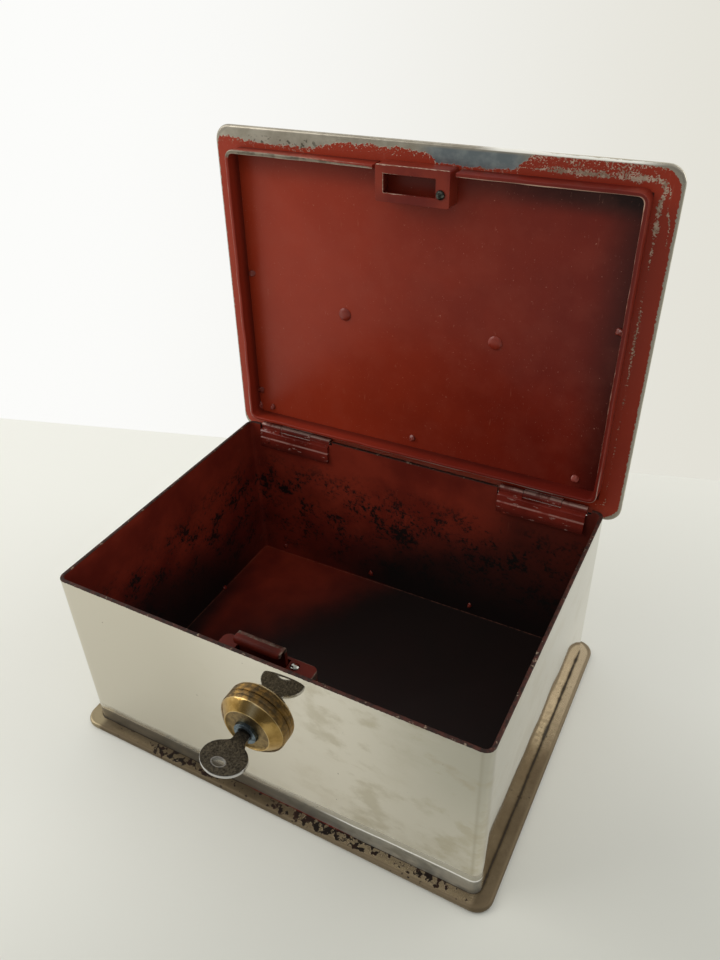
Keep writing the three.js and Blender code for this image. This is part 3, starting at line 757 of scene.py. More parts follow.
@dataclass
class Plates:
    """The thick base plate, nickel outside the walls and painted red between them."""

    edge: float = 1.6

    def plate_points(self, over: float, low: float, high: float) -> tuple[np.ndarray, list]:
        """Makes a round-cornered plate with a half-round edge, closed above and below by one flat face each.

        The edge is two quarter circles: inset = edge (1 - cos a), height = side of the plate -+ edge (1 - sin a).
        """
        outline = RoundRectangle(PLAN.half_x + over, PLAN.front - over, PLAN.half_y + over, PLAN.plate_corner)
        points, normals = outline.walk()
        a = np.radians(np.linspace(90, 0, 7))
        inset = self.edge * (1 - np.cos(a))
        lower = low + self.edge * (1 - np.sin(a))
        upper = high - self.edge * (1 - np.sin(a[::-1]))
        profile_in = np.concatenate([inset, inset[::-1]])
        profile_z = np.concatenate([lower, upper])
        grid = swept(points, normals, profile_in, profile_z)
        rows, columns = grid.shape[:2]
        faces = grid_faces(rows, columns, True, False).tolist()
        faces.append((np.arange(rows) * columns).tolist())
        faces.append((np.arange(rows) * columns + columns - 1).tolist())
        return grid.reshape(-1, 3), faces

    def base_material(self) -> bpy.types.Material:
        """Paints the base: tarnish and rust on the flange, red floor inside, a dark line where the walls stand;
        painted reflection lightens and darkens the flange, and painted shade darkens its outer edge.
        """
        c = Canvas("nickel_plate_tarnished")
        tarnish = TarnishedNickel()
        flange = tarnish.look(c)
        wall = c.off_wall()
        side = c.step(abs(c.x), PLAN.half_x - 3, PLAN.half_x)
        front = c.step(c.y, PLAN.front + 20, PLAN.front)
        # Painted reflection: the flange lighter on its sides towards the back and along the front's right part.
        pale = c.most(side * c.step(c.y, 0, 60), front * c.between(c.x, 20, 120, 20))
        c.dye(flange, pale * 0.6, "#C2B196")
        # Painted reflection: the sides darker towards the front, along a wandering line.
        wander = c.grain(25, 3, seed=51) * 40
        brown = c.step(wander - c.y, -20, 55)
        flange = c.over(brown * side * 0.85, flange, Look("#564A39", 0.34, 0.85, flange.relief))
        # Painted reflection: the front darker at the left.
        dim = front * c.step(c.x, 40, -10) * 0.75
        flange = c.over(dim, flange, Look("#5F5443", 0.36, 0.8, flange.relief))
        # The front lighter again at its far left end.
        clean = c.step(c.x, -PLAN.half_x + 8, -PLAN.half_x + 4) * front * 0.9
        flange = c.over(clean, flange, Look("#A19376", 0.34, 0.85, 0.0))
        # Painted shade: the flange's rounded outer edge darkened, except at the front's far left end.
        edge = c.step(wall, PLAN.base_over - 2.3, PLAN.base_over - 1.2, 0.0, 0.75) * (1.0 - clean)
        flange = c.over(edge, flange, Look("#6B5D48", 0.62, 0.55, 0.0))
        scattered = c.mottle(14, 4, 0.42, 0.6, seed=52)
        mid_front = front * c.step(wall, 8.4, 3.4) * c.between(c.x, -104, 116, 8)
        where = mid_front * (scattered * 0.62 + 0.44)
        flange = tarnish.rusted(c, flange, where)
        specks = c.patches(1.0, 0.62, 0.03, 3, seed=56) * c.step(wall, 3.4, 1.2) * side * scattered
        flange = c.over(specks, flange, Look("#2A1C12", 0.7, 0.2, 0.0))
        near_line = abs(wall) + (c.grain(6, 5, seed=53) - 0.5) * 1.8
        flange = c.over(c.step(near_line, 1.7, 0.1) * side * 0.8, flange, Look("#43361F", 0.5, 0.5, 0.0))
        line_tone = c.tint(front * c.between(c.x, -14, 50, 8), "#2A2018", "#6A1C15")
        flange = c.over(c.step(near_line, 0.7, 0.3) * 0.85, flange, Look(line_tone, 0.6, 0.0, 0.0))
        paint = inside_paint(c)
        seam = c.step(abs(wall + 2.3), 0.5, 0.2) * c.mottle(3, 3, 0.35, 0.6, seed=54)
        c.dye(paint, seam * 0.4, "#8A5A4A")
        top = c.step(c.z, PLAN.floor - 0.6, PLAN.floor - 0.3)
        look = c.over(c.step(wall, -0.9, -1.1) * top, flange, paint)
        return c.finish(look, gloss=RedOxide.gloss)

    def build(self) -> None:
        """Builds the base plate."""
        points, faces = self.plate_points(PLAN.base_over, 0.0, PLAN.floor)
        obj = make_object("base_plate_worn", points, faces)
        dress(obj, "box", "tarnished_nickel", self.base_material(), "base_plate")


def inside_paint(c: Canvas) -> Look:
    """Gives the paint inside the box: red on the left and at the back, near-black towards the front right corner and
    lower down.

    Args:
        c: the material being painted.

    Returns:
        The look of the inner walls and floor.
    """
    paint = RedOxide(lit="#852F20", deep="#652017", soot="#171413")
    look = paint.look(c)
    low = c.step(c.z, 100, 8)
    floor = c.step(c.z, PLAN.floor + 1.5, PLAN.floor + 0.5)
    blots = c.grain(2.0, 3, seed=61) + c.grain(15, 5, seed=62) * 0.9
    band = c.step(c.z, 96, 70) * c.step(c.z, 6, 22)
    spots = c.step(blots, 1.03, 1.09) * band
    soot = paint.soot
    smudges = c.step(blots, 0.9, 1.06) * band * 0.45
    c.dye(look, smudges, soot)
    look = c.over(spots * 0.95, look, Look(soot, 0.5, 0.0, -0.03))
    # Near-black towards the front right corner, more the lower down, and at the left wall's foot.
    reach = (c.x * 0.62 + c.y * -0.55 + c.grain(50, 4, seed=63) * 60 + low * 78
             + floor * c.step(c.x, 40, -60) * -22
             + c.step(c.x, -100, -117) * c.step(c.z, 78, 40, 0.0, 34.0) + c.step(c.x, 40, 100, 0.0, 32.0))
    dark = c.step(reach, -12, 55) * c.sum("ADD", low * 0.36, 0.62, True)
    return c.over(dark, look, Look(soot, 0.42, 0.0, 0.0))


@dataclass
class BodyShell:
    """The welded wall of the box: mirror nickel outside, red inside, a chipped red rim and two hinge notches."""

    notch_left: float = 26.6
    notch_right: float = 29.0
    notch_depth: float = 5.0
    spare_depth: float = 2.2
    edge: float = 0.45
    nick: float = 0.05
    bow: float = 0.16
    bow_height: float = 26.0

    def points(self, hinge_x: float) -> tuple[np.ndarray, list]:
        """Carries the wall's closed profile round the box.

        The rim's height drops by the notch's depth wherever x lies between a notch's two sides on the back
        wall. The outer face bows by a few tenths near the base, as welding leaves it.

        Args:
            hinge_x: distance of each hinge from the middle.

        Returns:
            Points in millimetres and faces.
        """
        outline = RoundRectangle(PLAN.half_x, PLAN.front, PLAN.half_y, PLAN.corner)
        points, normals = outline.walk()
        points, normals = self.with_notch_sides(points, normals, hinge_x)
        along = np.concatenate([[0], np.cumsum(np.linalg.norm(np.diff(points, axis=0), axis=1))])
        back = points[:, 1] > PLAN.half_y - 0.01
        off = [points[:, 0] - centre for centre in (-hinge_x, hinge_x)]
        in_notch = back & np.any([(d > -self.notch_left) & (d < self.notch_right) for d in off], axis=0)
        nick = np.minimum(0.0, ripple(along * 3.1, 7)) * self.nick
        spare = in_notch & np.any([(d > self.notch_left) & (d < self.notch_right) for d in off], axis=0)
        rim = PLAN.rim - np.where(spare, self.spare_depth, self.notch_depth) * in_notch + nick
        low = PLAN.floor + 0.02
        climb, turns = 25, 5
        a = np.radians(np.linspace(0, 90, turns))
        outer_in = np.concatenate([np.zeros(climb), self.edge * (1 - np.cos(a))[1:]])
        outer_up = np.concatenate([np.linspace(0, 1, climb), np.ones(turns - 1)])
        outer_drop = np.concatenate([np.full(climb, self.edge), self.edge * (1 - np.sin(a))[1:]])
        inset = np.concatenate([outer_in, (PLAN.wall - outer_in)[::-1]])
        up = np.concatenate([outer_up, outer_up[::-1]])
        drop = np.concatenate([outer_drop, outer_drop[::-1]])
        height = np.where(up < 1, low + (rim[:, None] - low - self.edge) * up, rim[:, None] - drop)
        flat_side = np.abs(normals).max(1) > 0.999
        fade = np.exp(-(height - low) / self.bow_height) * flat_side[:, None]
        bow = self.bow * ripple(along, 3)[:, None] * fade
        grid = swept(points, normals, inset + bow * (inset < 1.0), height)
        rows, columns = grid.shape[:2]
        return grid.reshape(-1, 3), grid_faces(rows, columns, True, True).tolist()

    def with_notch_sides(self, points: np.ndarray, normals: np.ndarray, hinge_x: float) -> tuple:
        """Puts a pair of points at each notch's side, so that the rim steps down steeply there."""
        extra = []
        for centre in (-hinge_x, hinge_x):
            for side in (-self.notch_left, self.notch_left, self.notch_right):
                extra += [centre + side - 0.02, centre + side + 0.02]
        back = np.where(points[:, 1] > PLAN.half_y - 0.01)[0]
        xs = np.unique(np.concatenate([points[back, 0], extra]))[::-1]
        row = np.stack([xs, np.full(len(xs), PLAN.half_y)], -1)
        out = np.repeat([[0.0, 1.0]], len(xs), 0)
        first, last = back[0], back[-1]
        return (np.concatenate([points[:first], row, points[last + 1:]]),
                np.concatenate([normals[:first], out, normals[last + 1:]]))

    def material(self) -> bpy.types.Material:
        """Paints the wall: plate outside, paint within, a ragged dark red line along the rim, and near-black painted
        shade on the notches' cut faces.
        """
        c = Canvas("nickel_plate_mirror")
        plate = MirrorNickel().look(c)
        paint = inside_paint(c)
        wall = c.off_wall()
        rim_line = c.step(c.z + c.grain(1.3, 4, seed=71), PLAN.rim + 0.02, PLAN.rim + 0.1)
        rim_colour = c.tint(c.mottle(2.4, 6, 0.42, 0.6, seed=72), "#45231B", "#271813")
        worn = c.patches(1.1, 0.63, 0.03, 5, seed=73, stretch=(2, 2, 1))
        rim_colour = c.tint(worn * 0.7, rim_colour, "#A08C78")
        rim = Look(rim_colour, 0.6, 0.0, c.grain(1.2, 3, seed=74) * 0.06)
        look = c.over(c.step(wall, -0.9, -1.1), self.haze_and_reflection(c, plate), paint)
        look = c.over(rim_line, look, rim)
        # Painted shade: the notches' cut faces near-black.
        cut_face = c.between(wall, -1.85, -0.15, 0.1) * c.step(c.z, PLAN.rim - 0.6, PLAN.rim - 0.8)
        look = c.over(cut_face, look, Look("#100A08", 0.7, 0.0, 0.0))
        return c.finish(look, gloss=RedOxide.gloss)

    def haze_and_reflection(self, c: Canvas, plate: Look) -> Look:
        """Dulls the front's lowest millimetres, most at the right, where damp crept up from the base, and paints the
        flange's reflection into this band: darker towards its top, a lighter strip above it and a bright line along
        its top.
        """
        on_front = c.step(c.y, PLAN.front + 6, PLAN.front + 2)
        height = c.z - PLAN.floor
        right = c.step(c.x, -20, 70)
        top = c.grain(30, 3, seed=75) * 2.4 + c.step(c.x, -20, 90, 7.6, 9.6)
        above = height - top
        cloudy = c.mottle(9, 6, 0.40, 0.62, seed=76, stretch=(2, 1, 1))
        tone = c.tint(right, "#71695B", "#B6B2A7")
        # Painted reflection of the flange: the band darker towards its top, more at the left.
        upper = c.step(height, 2.5, 6.0) * c.step(c.x, 100, 40, 0.25, 0.7)
        tone = c.tint(c.most(cloudy, upper) * 0.75, tone, c.tint(right, "#4A443A", "#77756B"))
        look = c.over(on_front * c.step(above, 0.8, -0.8) * 0.92, plate, Look(tone, 0.4, 0.5, plate.relief))
        # Painted reflection: a lighter strip just above the band at the right.
        clear = on_front * c.step(above, -0.6, 0.6) * c.step(above, 5.5, 3.5) * c.step(c.x, 0, 60, 0.35, 0.85)
        look = c.over(clear, look, Look("#B9B4A4", 0.4, 0.25, plate.relief))
        # Painted highlight: a near-white line along the band's top at the right.
        reflected_glint = on_front * c.near(above, -0.3, 0.6, 0.4) * c.step(c.x, 25, 50)
        return c.over(reflected_glint, look, Look("#F6F4EE", 0.3, 0.0, plate.relief))

    def build(self) -> None:
        """Builds the wall in place of its plain solid."""
        low, high = node_box("hinge_pin_left")
        points, faces = self.points(hinge_x=abs(float(low[0] + high[0])) / 2)
        obj = make_object("body_shell_worn", points, faces)
        dress(obj, "box", "nickel_plate", self.material(), "body_shell")


@dataclass
class Lid:
    """The lid: plate, bent inner frame, and keep with its pin."""

    frame_inset: float = 5.2
    frame_front_inset: float = 3.4
    frame_back_inset: float = 8.0
    frame_skew: float = 2.0
    frame_height: float = 10.0
    strip: float = 2.0
    frame_corner: float = 5.0
    gap_half: float = 22.9
    keep_front: float = 2.4
    keep_back: float = 20.7
    keep_half: float = 20.5
    keep_height: float = 11.0
    strip_edge: float = 0.5
    wander: float = 0.22
    lean: float = 0.25

    def scuffed(self, c: Canvas, off: Any, amount: Any, falloff: float, seed: float) -> Any:
        """Gives a line of fine scuffs, which thins out with the distance from its middle.

        Args:
            c: the material being painted.
            off: distance from the line's middle in millimetres.
            amount: how much wear there is, about -0.3 for none to 0.2 for nearly all.
            falloff: how fast the wear thins out per millimetre.
            seed: picks the line's own grain.

        Returns:
            A mask.
        """
        wear = c.grain(1.0, 7, seed=seed) + c.grain(8, 3, seed=seed + 1) * 0.6
        return c.step(wear + amount - off * falloff, 0.80, 0.83)

    def bare_width(self, c: Canvas) -> Any:
        """Gives the bare band's width along the front edge: broad at the left, again right of the keep."""
        width = c.step(c.x, -112, -90, 6.4, 8.4)
        for start, end, change in ((-68, -46, -4.6), (1, 9, 5.2), (47, 60, -8.4)):
            width = width + c.step(c.x, start, end, 0.0, change)
        ragged = (c.grain(11, 3, seed=84) - 0.5) * 4.0
        fine = (c.grain(2.6, 8, seed=86) - 0.5) * 7.0
        return width + (ragged + fine)

    def plate_material(self) -> bpy.types.Material:
        """Paints the plate: red within, worn along the rim's contact line and bare along the front edge, with painted
        shade across it and beside the frame's strips and a painted highlight on the front edge's right part.
        """
        c = Canvas("nickel_plate_lid", Draw.ON_LID)
        plate = MirrorNickel().look(c)
        # Painted shade: the paint darkens from left to right and a little towards the hinges, less on the margin
        # outside the frame.
        across = c.step(c.x, -112, 100) * 0.85
        grime_and_shade = across + c.step(c.y, -60, 90) * 0.06
        wall = c.off_wall()
        grime_and_shade = grime_and_shade * c.step(wall, -6.0, -5.0, 1.0, 0.45)
        paint = RedOxide(lit="#9C331B", deep="#62180F").look(c, grime_and_shade)
        bare = BareSteel().look(c)
        from_edge = PLAN.lid_over - wall
        behind = c.y + PLAN.half_y
        contact = abs(wall + c.step(behind, 0, 12, 0.0, 1.9))
        right = c.step(c.x, 30, 80)
        amount = c.step(behind, 24, 36, 0.10, -0.05) + c.between(behind, 62, 98, 6) * 0.09
        amount = amount - c.step(c.x, 30, 80, 0.22, 0.0)
        rub = self.scuffed(c, contact, amount, 0.12, 81)
        second = abs(wall - c.step(behind, 10, 22, 1.6, 4.0))
        amount = c.step(behind, 40, 26) * right
        rub = c.most(rub, self.scuffed(c, second, amount * 0.32 - 0.3, 0.24, 141))
        field = c.between(c.x, 48, 113, 10) * c.step(behind, 3, -1)
        rub = c.most(rub, self.scuffed(c, 0.0, field * 0.26 - 0.32, 0.0, 151))
        chips = c.patches(1.0, 0.69, 0.012, 5, seed=83) * c.step(from_edge, 12, 2) * 0.8
        from_front = c.y + (PLAN.half_y + PLAN.lid_over)
        width = self.bare_width(c)
        close = c.step(from_front - width, 4.5, 0.0)
        specks = c.grain(0.9, 5, seed=88) + close * 0.13
        flecks = c.step(specks, 0.675, 0.69) * c.step(close, 0.0, 0.05) * 0.9
        rub = c.most(rub, chips, flecks)
        band = c.step(width - from_front, -0.1, 0.1)
        in_front = c.step(from_front, 13.0, 12.0)
        side_ok = c.step(abs(c.x), PLAN.half_x + PLAN.lid_over - 0.6, PLAN.half_x + PLAN.lid_over - 2.2)
        band = band * in_front * side_ok
        blue = c.between(c.x, 2, 54, 7) * c.step(from_front, 1.0, 2.6)
        tone = c.tint(c.mottle(9, 5, 0.35, 0.65, seed=89), "#C3BCAD", "#AEA697")
        cool = c.tint(c.mottle(7, 6, 0.35, 0.6, seed=90), "#9CA4A7", "#838D92")
        pits = c.patches(2.4, 0.565, 0.02, 7, seed=92) * c.between(c.x, -104, -60, 8) * c.step(from_front, 3.5, 5.0)
        tone = c.tint(pits * 0.8, c.tint(blue, tone, cool), "#4A463C")
        smooth = Look(tone, 0.34, 0.85, bare.relief)
        pale = Look(c.tint(c.mottle(3, 6, 0.4, 0.6, seed=93), "#CBB5A2", "#9A8270"), 0.45, 0.7, bare.relief)
        at_front, at_right = behind - self.keep_front, PLAN.half_x - self.frame_inset - c.x
        # Painted shadow with some soiling: the plate darkened beside the frame's front and right strips, most close
        # to them and towards the right.
        for off, near, far, much in ((at_front, 19.0, 8.0, 0.9), (at_right, 26.0, 3.0, 0.6)):
            soil_and_shadow = c.step(off, near, far) * c.step(off, 0.0, 0.5) * c.step(c.x, 10, 100, 0.3, 0.95) * much
            soil_and_shadow = soil_and_shadow * c.step(wall, -5.0, -5.6) * c.step(behind, 2, 3)
            c.dye(paint, soil_and_shadow, "#1D0E0D")
        panel = c.step(from_edge, 12, 16)
        dots = c.patches(0.9, 0.695, 0.025, 3, seed=99) * panel * c.patches(22, 0.43, 0.1, 3, seed=100) * 0.75
        scratches = (c.patches(1.1, 0.71, 0.03, 2, seed=171, stretch=(0.6, 4, 1)) * panel
                     * c.patches(24, 0.54, 0.05, 3, seed=172) * 0.35)
        rubs = c.patches(13, 0.55, 0.12, 6, seed=173) * panel * 0.06
        c.dye(paint, rubs, "#A65A48")
        c.dye(paint, c.most(dots, scratches), "#BC8472")
        look = c.over(rub, paint, pale)
        look = c.over(band, look, smooth)
        fringe = from_edge + (c.grain(1.6, 6, seed=160) - 0.5) * 3.0
        reach = c.step(c.x, 100, 122, 0.0, 1.5) + c.step(c.x, -112, -121, 0.0, 1.3)
        reach = c.most(reach, c.step(c.x, 44, 60) * c.step(from_front, 8, 5) * 1.3)
        bared = c.step(fringe - reach, 0.1, -0.1)
        look = c.over(bared, look, Look("#A69F92", 0.4, 0.7, bare.relief))
        # Painted highlight: a near-white line along the front edge's right part.
        edge_highlight = c.between(c.x, 34, 112, 8) * c.step(from_front, 1.5, 0.9)
        look = c.over(edge_highlight, look, Look("#F4F2EA", 0.35, 0.1, 0.0))
        edge_chip = c.grain(4, 6, seed=85) * 1.6
        edge_chip = edge_chip - c.step(from_front, 4.0, 2.0) * c.step(c.x, 70, 50) * 1.6
        painted = c.step(c.z + edge_chip, PLAN.lid_under + 1.75, PLAN.lid_under + 1.45)
        look = c.over(painted, plate, look)
        return c.finish(look, gloss=RedOxide.gloss)

    def skew(self, x: Any) -> Any:
        """Gives how far the back strip is shifted to the hinges at X: most at the left end, none at the right."""
        return self.frame_skew * (0.5 - x / (2 * PLAN.half_x))

    def frame_points(self) -> tuple[np.ndarray, list]:
        """Carries the strip's round-edged section along the frame's open path, from gap to gap.

        The crest wanders by a quarter of a millimetre, because the strip was bent by hand.

        Returns:
            Points on the open lid in millimetres, and faces.
        """
        outline = RoundRectangle(PLAN.half_x - self.frame_inset, PLAN.front + self.frame_front_inset,
                                 PLAN.half_y - self.frame_back_inset, self.frame_corner)
        points, normals = outline.walk()
        points[:, 1] += np.where(points[:, 1] > 0, self.skew(points[:, 0]), 0.0)
        front = (points[:, 1] < PLAN.front + self.frame_front_inset + 0.01) & (np.abs(points[:, 0]) < self.gap_half)
        inside = np.where(front)[0]
        order = np.concatenate([np.arange(inside[-1] + 1, len(points)), np.arange(0, inside[0])])
        ends = np.array([[self.gap_half, points[inside[0], 1]], [-self.gap_half, points[inside[0], 1]]])
        walk = np.concatenate([ends[:1], points[order], ends[1:]])
        out = np.concatenate([[[0.0, -1.0]], normals[order], [[0.0, -1.0]]])
        along = np.concatenate([[0], np.cumsum(np.linalg.norm(np.diff(walk, axis=0), axis=1))])
        r = self.strip_edge
        a = np.radians(np.linspace(0, 90, 4))
        high = PLAN.lid_under - 0.05
        low = PLAN.lid_under - self.frame_height
        inset = np.concatenate([[0], r * (1 - np.cos(a)), self.strip - r * (1 - np.cos(a[::-1])), [self.strip]])
        level = np.concatenate([[high], low + r * (1 - np.sin(a)), low + r * (1 - np.sin(a[::-1])), [high]])
        wander = self.wander * ripple(along * 0.8, 5)[:, None] * (level < high - 1)
        lean = self.lean * ripple(along * 0.7, 6)[:, None] * (high - level) / self.frame_height
        grid = swept(walk, out, inset + np.maximum(lean, -0.1), level + np.maximum(wander, -0.05))
        rows, columns = grid.shape[:2]
        faces = grid_faces(rows, columns, False, True).tolist()
        faces += [list(range(columns)), list(range((rows - 1) * columns, rows * columns))]
        return PLAN.opened(grid.reshape(-1, 3)), faces

    def frame_material(self) -> bpy.types.Material:
        """Paints the frame: red, its crest's two edges rubbed bright, the whole crest worn at the front left, with
        painted light, shade and highlights laid on.
        """
        c = Canvas("red_oxide_frame", Draw.ON_LID)
        # Painted shade: the paint darkens from left to right.
        across = c.step(c.x, -112, 100) * 0.85
        paint = RedOxide(lit="#8E2E1D", deep="#5C1610").look(c, across)
        bare = BareSteel(tone="#93887A", dark="#6C6257").look(c)
        pink = Look(c.tint(c.mottle(3, 5, 0.38, 0.62, seed=94), "#B98F7E", "#8A5141"), 0.4, 0.5, bare.relief)
        height = c.z - (PLAN.lid_under - self.frame_height)
        skewed = c.step(c.y, -1, 1) * c.step(c.x, -PLAN.half_x, PLAN.half_x, self.frame_skew, 0.0)
        y = c.y - skewed + (self.frame_back_inset - self.frame_front_inset) / 2
        half_y = PLAN.half_y - (self.frame_back_inset + self.frame_front_inset) / 2
        depth = c.outside(PLAN.half_x - self.frame_inset, half_y, self.frame_corner, y) * -1.0
        outer = abs(depth) + c.step(c.x, 0, 20) * c.step(c.y, 70, 60)
        inner = abs(depth - self.strip) + c.step(c.y, 60, 70) + c.step(c.x, -100, -106)
        ragged = c.grain(2.5, 6, seed=91, stretch=(2, 2, 1)) - 0.5
        line = c.step(c.least(outer, inner) + ragged, 0.36, 0.22) * c.step(height, 0.6, 0.35) * 0.9
        look = c.over(line, paint, pink)
        front = c.step(c.y, -81, -83) * c.step(c.x, -18, -30) * c.step(height, 0.9, 0.6)
        reach = c.step(c.x, -20, -100, 0.9, 2.6)
        whole = front * c.step(reach - (self.strip - depth), -0.2, 0.3)
        whole = whole * c.mottle(2, 7, 0.33, 0.38, seed=96, stretch=(2, 1, 1))
        look = c.over(whole, look, bare)
        # Painted highlight: a pale line along the crest's inner edge at the front left.
        c.dye(look, front * c.near(depth, self.strip - 0.15, 0.22, 0.1) * 0.8, "#C3B5A5")
        # Painted highlight: a bright line along the crest's inner edge at the front right, fading towards the right
        # end.
        crest_highlight = (c.step(c.y, -77, -79) * c.step(c.x, 22, 27) * c.step(height, 1.0, 0.7)
                 * c.near(depth, self.strip - 0.15, 0.28, 0.12) * c.step(c.x, 112, 60, 0.45, 0.9))
        c.dye(look, crest_highlight, "#DDBBA4")
        # Painted highlight: a thin pale line along the back strip's outer edge.
        rear = c.step(c.y, 55, 72) * c.near(depth, 0.15, 0.3, 0.1) * c.step(height, 0.8, 0.5) * 0.85
        c.dye(look, rear, "#A79C92")
        # Painted light: the right strip's outer side lightened.
        c.dye(look, c.step(depth, 0.5, 0.2) * c.step(c.x, 100, 112) * 0.3, "#A03E2C")
        # Painted shade along the strips' roots, where they meet the plate, weaker to the right.
        c.dye(look, c.step(height, 3, 9) * c.step(c.x, 60, 100, 0.5, 0.1), "#230C0A")
        return c.finish(look, gloss=RedOxide.gloss)

    def keep_material(self) -> bpy.types.Material:
        """Paints the keep: red, with its front face's edges rubbed through, the leading edge most."""
        c = Canvas("red_oxide_keep", Draw.ON_LID)
        paint = RedOxide(lit="#86301F", deep="#651B13", rough=0.3).look(c)
        pale = Look(c.tint(c.mottle(3, 6, 0.4, 0.6, seed=97), "#C7A898", "#96705F"), 0.4, 0.6,
                    c.grain(0.8, 2, seed=98) * 0.02)
        height = c.z - (PLAN.lid_under - self.keep_height)
        from_front = c.y + PLAN.half_y
        front = abs(from_front - self.keep_front)
        back = abs(from_front - self.keep_back) + 0.55
        side = abs(abs(c.x) - self.keep_half) + 0.45
        edge = c.most(height, c.least(front, back, side))
        from_mid_x = abs(c.x + 1.5)
        from_mid_y = abs(from_front - 11.5)
        past = c.most(from_mid_x - 14.5, from_mid_y - 4.7)
        lip = abs(past) + c.step(c.x, -14, 8, 0.1, 0.6)
        edge = c.least(edge, c.most(height, lip))
        ragged = c.grain(2.4, 6, seed=95) * 1.4
        rub = c.step(edge + ragged, 1.12, 0.98)
        return c.finish(c.over(rub, paint, pale), gloss=RedOxide.gloss)

    def build(self) -> None:
        """Builds the lid's pieces on the open lid."""
        points, faces = Plates().plate_points(PLAN.lid_over, PLAN.lid_under, PLAN.lid_under + PLAN.lid_thick)
        plate = make_object("lid_plate_worn", PLAN.opened(points), faces)
        dress(plate, "lid", "nickel_plate", self.plate_material(), "lid_plate")
        points, faces = self.frame_points()
        strip = make_object("lid_frame_worn", points, faces, 40)
        dress(strip, "lid", "red_oxide", self.frame_material(), "lid_frame")
        wear("keep_box", "lid", "red_oxide", self.keep_material(), 0.45)
        wear("keep_pin", "lid", "steel", WORN_STEEL.material(Draw.ON_LID), 0.15, 2)


@dataclass
class Hinges:
    """Two butt hinges, painted over, with pale rubs and painted highlights along the knuckles and the leaf's fold."""

    axis: tuple[float, float] = (90.75, 109.4)
    fold: float = 8.9

    def material(self, name: str, draw: Draw) -> bpy.types.Material:
        """Paints a leaf: red, with pale rubs, painted highlights along its knuckle and fold, and painted shade below
        the fold.
        """
        c = Canvas(name, draw)
        paint = RedOxide(lit="#7A2A20", deep="#561912", rough=0.2).look(c)
        pale = Look("#C4A094", 0.35, 0.3, paint.relief)
        rub = c.patches(1.8, 0.63, 0.03, 5, seed=101, stretch=(3, 1, 1)) * 0.6
        broken = c.step(c.grain(7, 4, seed=102, stretch=(1, 3, 3)), 0.36, 0.5, 0.25, 1.0)
        # Painted highlights: pale lines along the knuckles' upper side and the body leaf's fold, broken in places.
        if draw is Draw.ON_LID:
            line = c.near(c.y, self.axis[0] - 2.0, 0.35, 0.3)
        else:
            line = c.near(c.z, self.axis[1] + 1.9, 0.35, 0.3) * c.step(c.y, self.axis[0] + 0.4, self.axis[0])
            fold = c.near(c.z, PLAN.rim - self.fold, 0.3, 0.35) * 0.5
            line = c.most(line, fold)
            # Painted shade below the body leaf's fold.
            under = c.step(c.z, PLAN.rim - self.fold - 1.5, PLAN.rim - self.fold - 7)
            c.dye(paint, under * 0.6, "#2E120E")
        return c.finish(c.over(c.most(rub, line * broken * 0.9), paint, pale), gloss=0.6)

    def build(self) -> None:
        """Softens the leaves and the pins of both hinges."""
        fixed = self.material("red_oxide_hinge", Draw.STANDING)
        moving = self.material("red_oxide_hinge_lid", Draw.ON_LID)
        steel = WORN_STEEL.material()
        for side in Side:
            name = side.name.lower()
            wear(f"hinge_body_leaf_{name}", "box", "red_oxide", fixed, 0.3)
            wear(f"hinge_lid_leaf_{name}", "lid", "red_oxide", moving, 0.3)
            wear(f"hinge_pin_{name}", "box", "steel", steel, 0.2, 2)


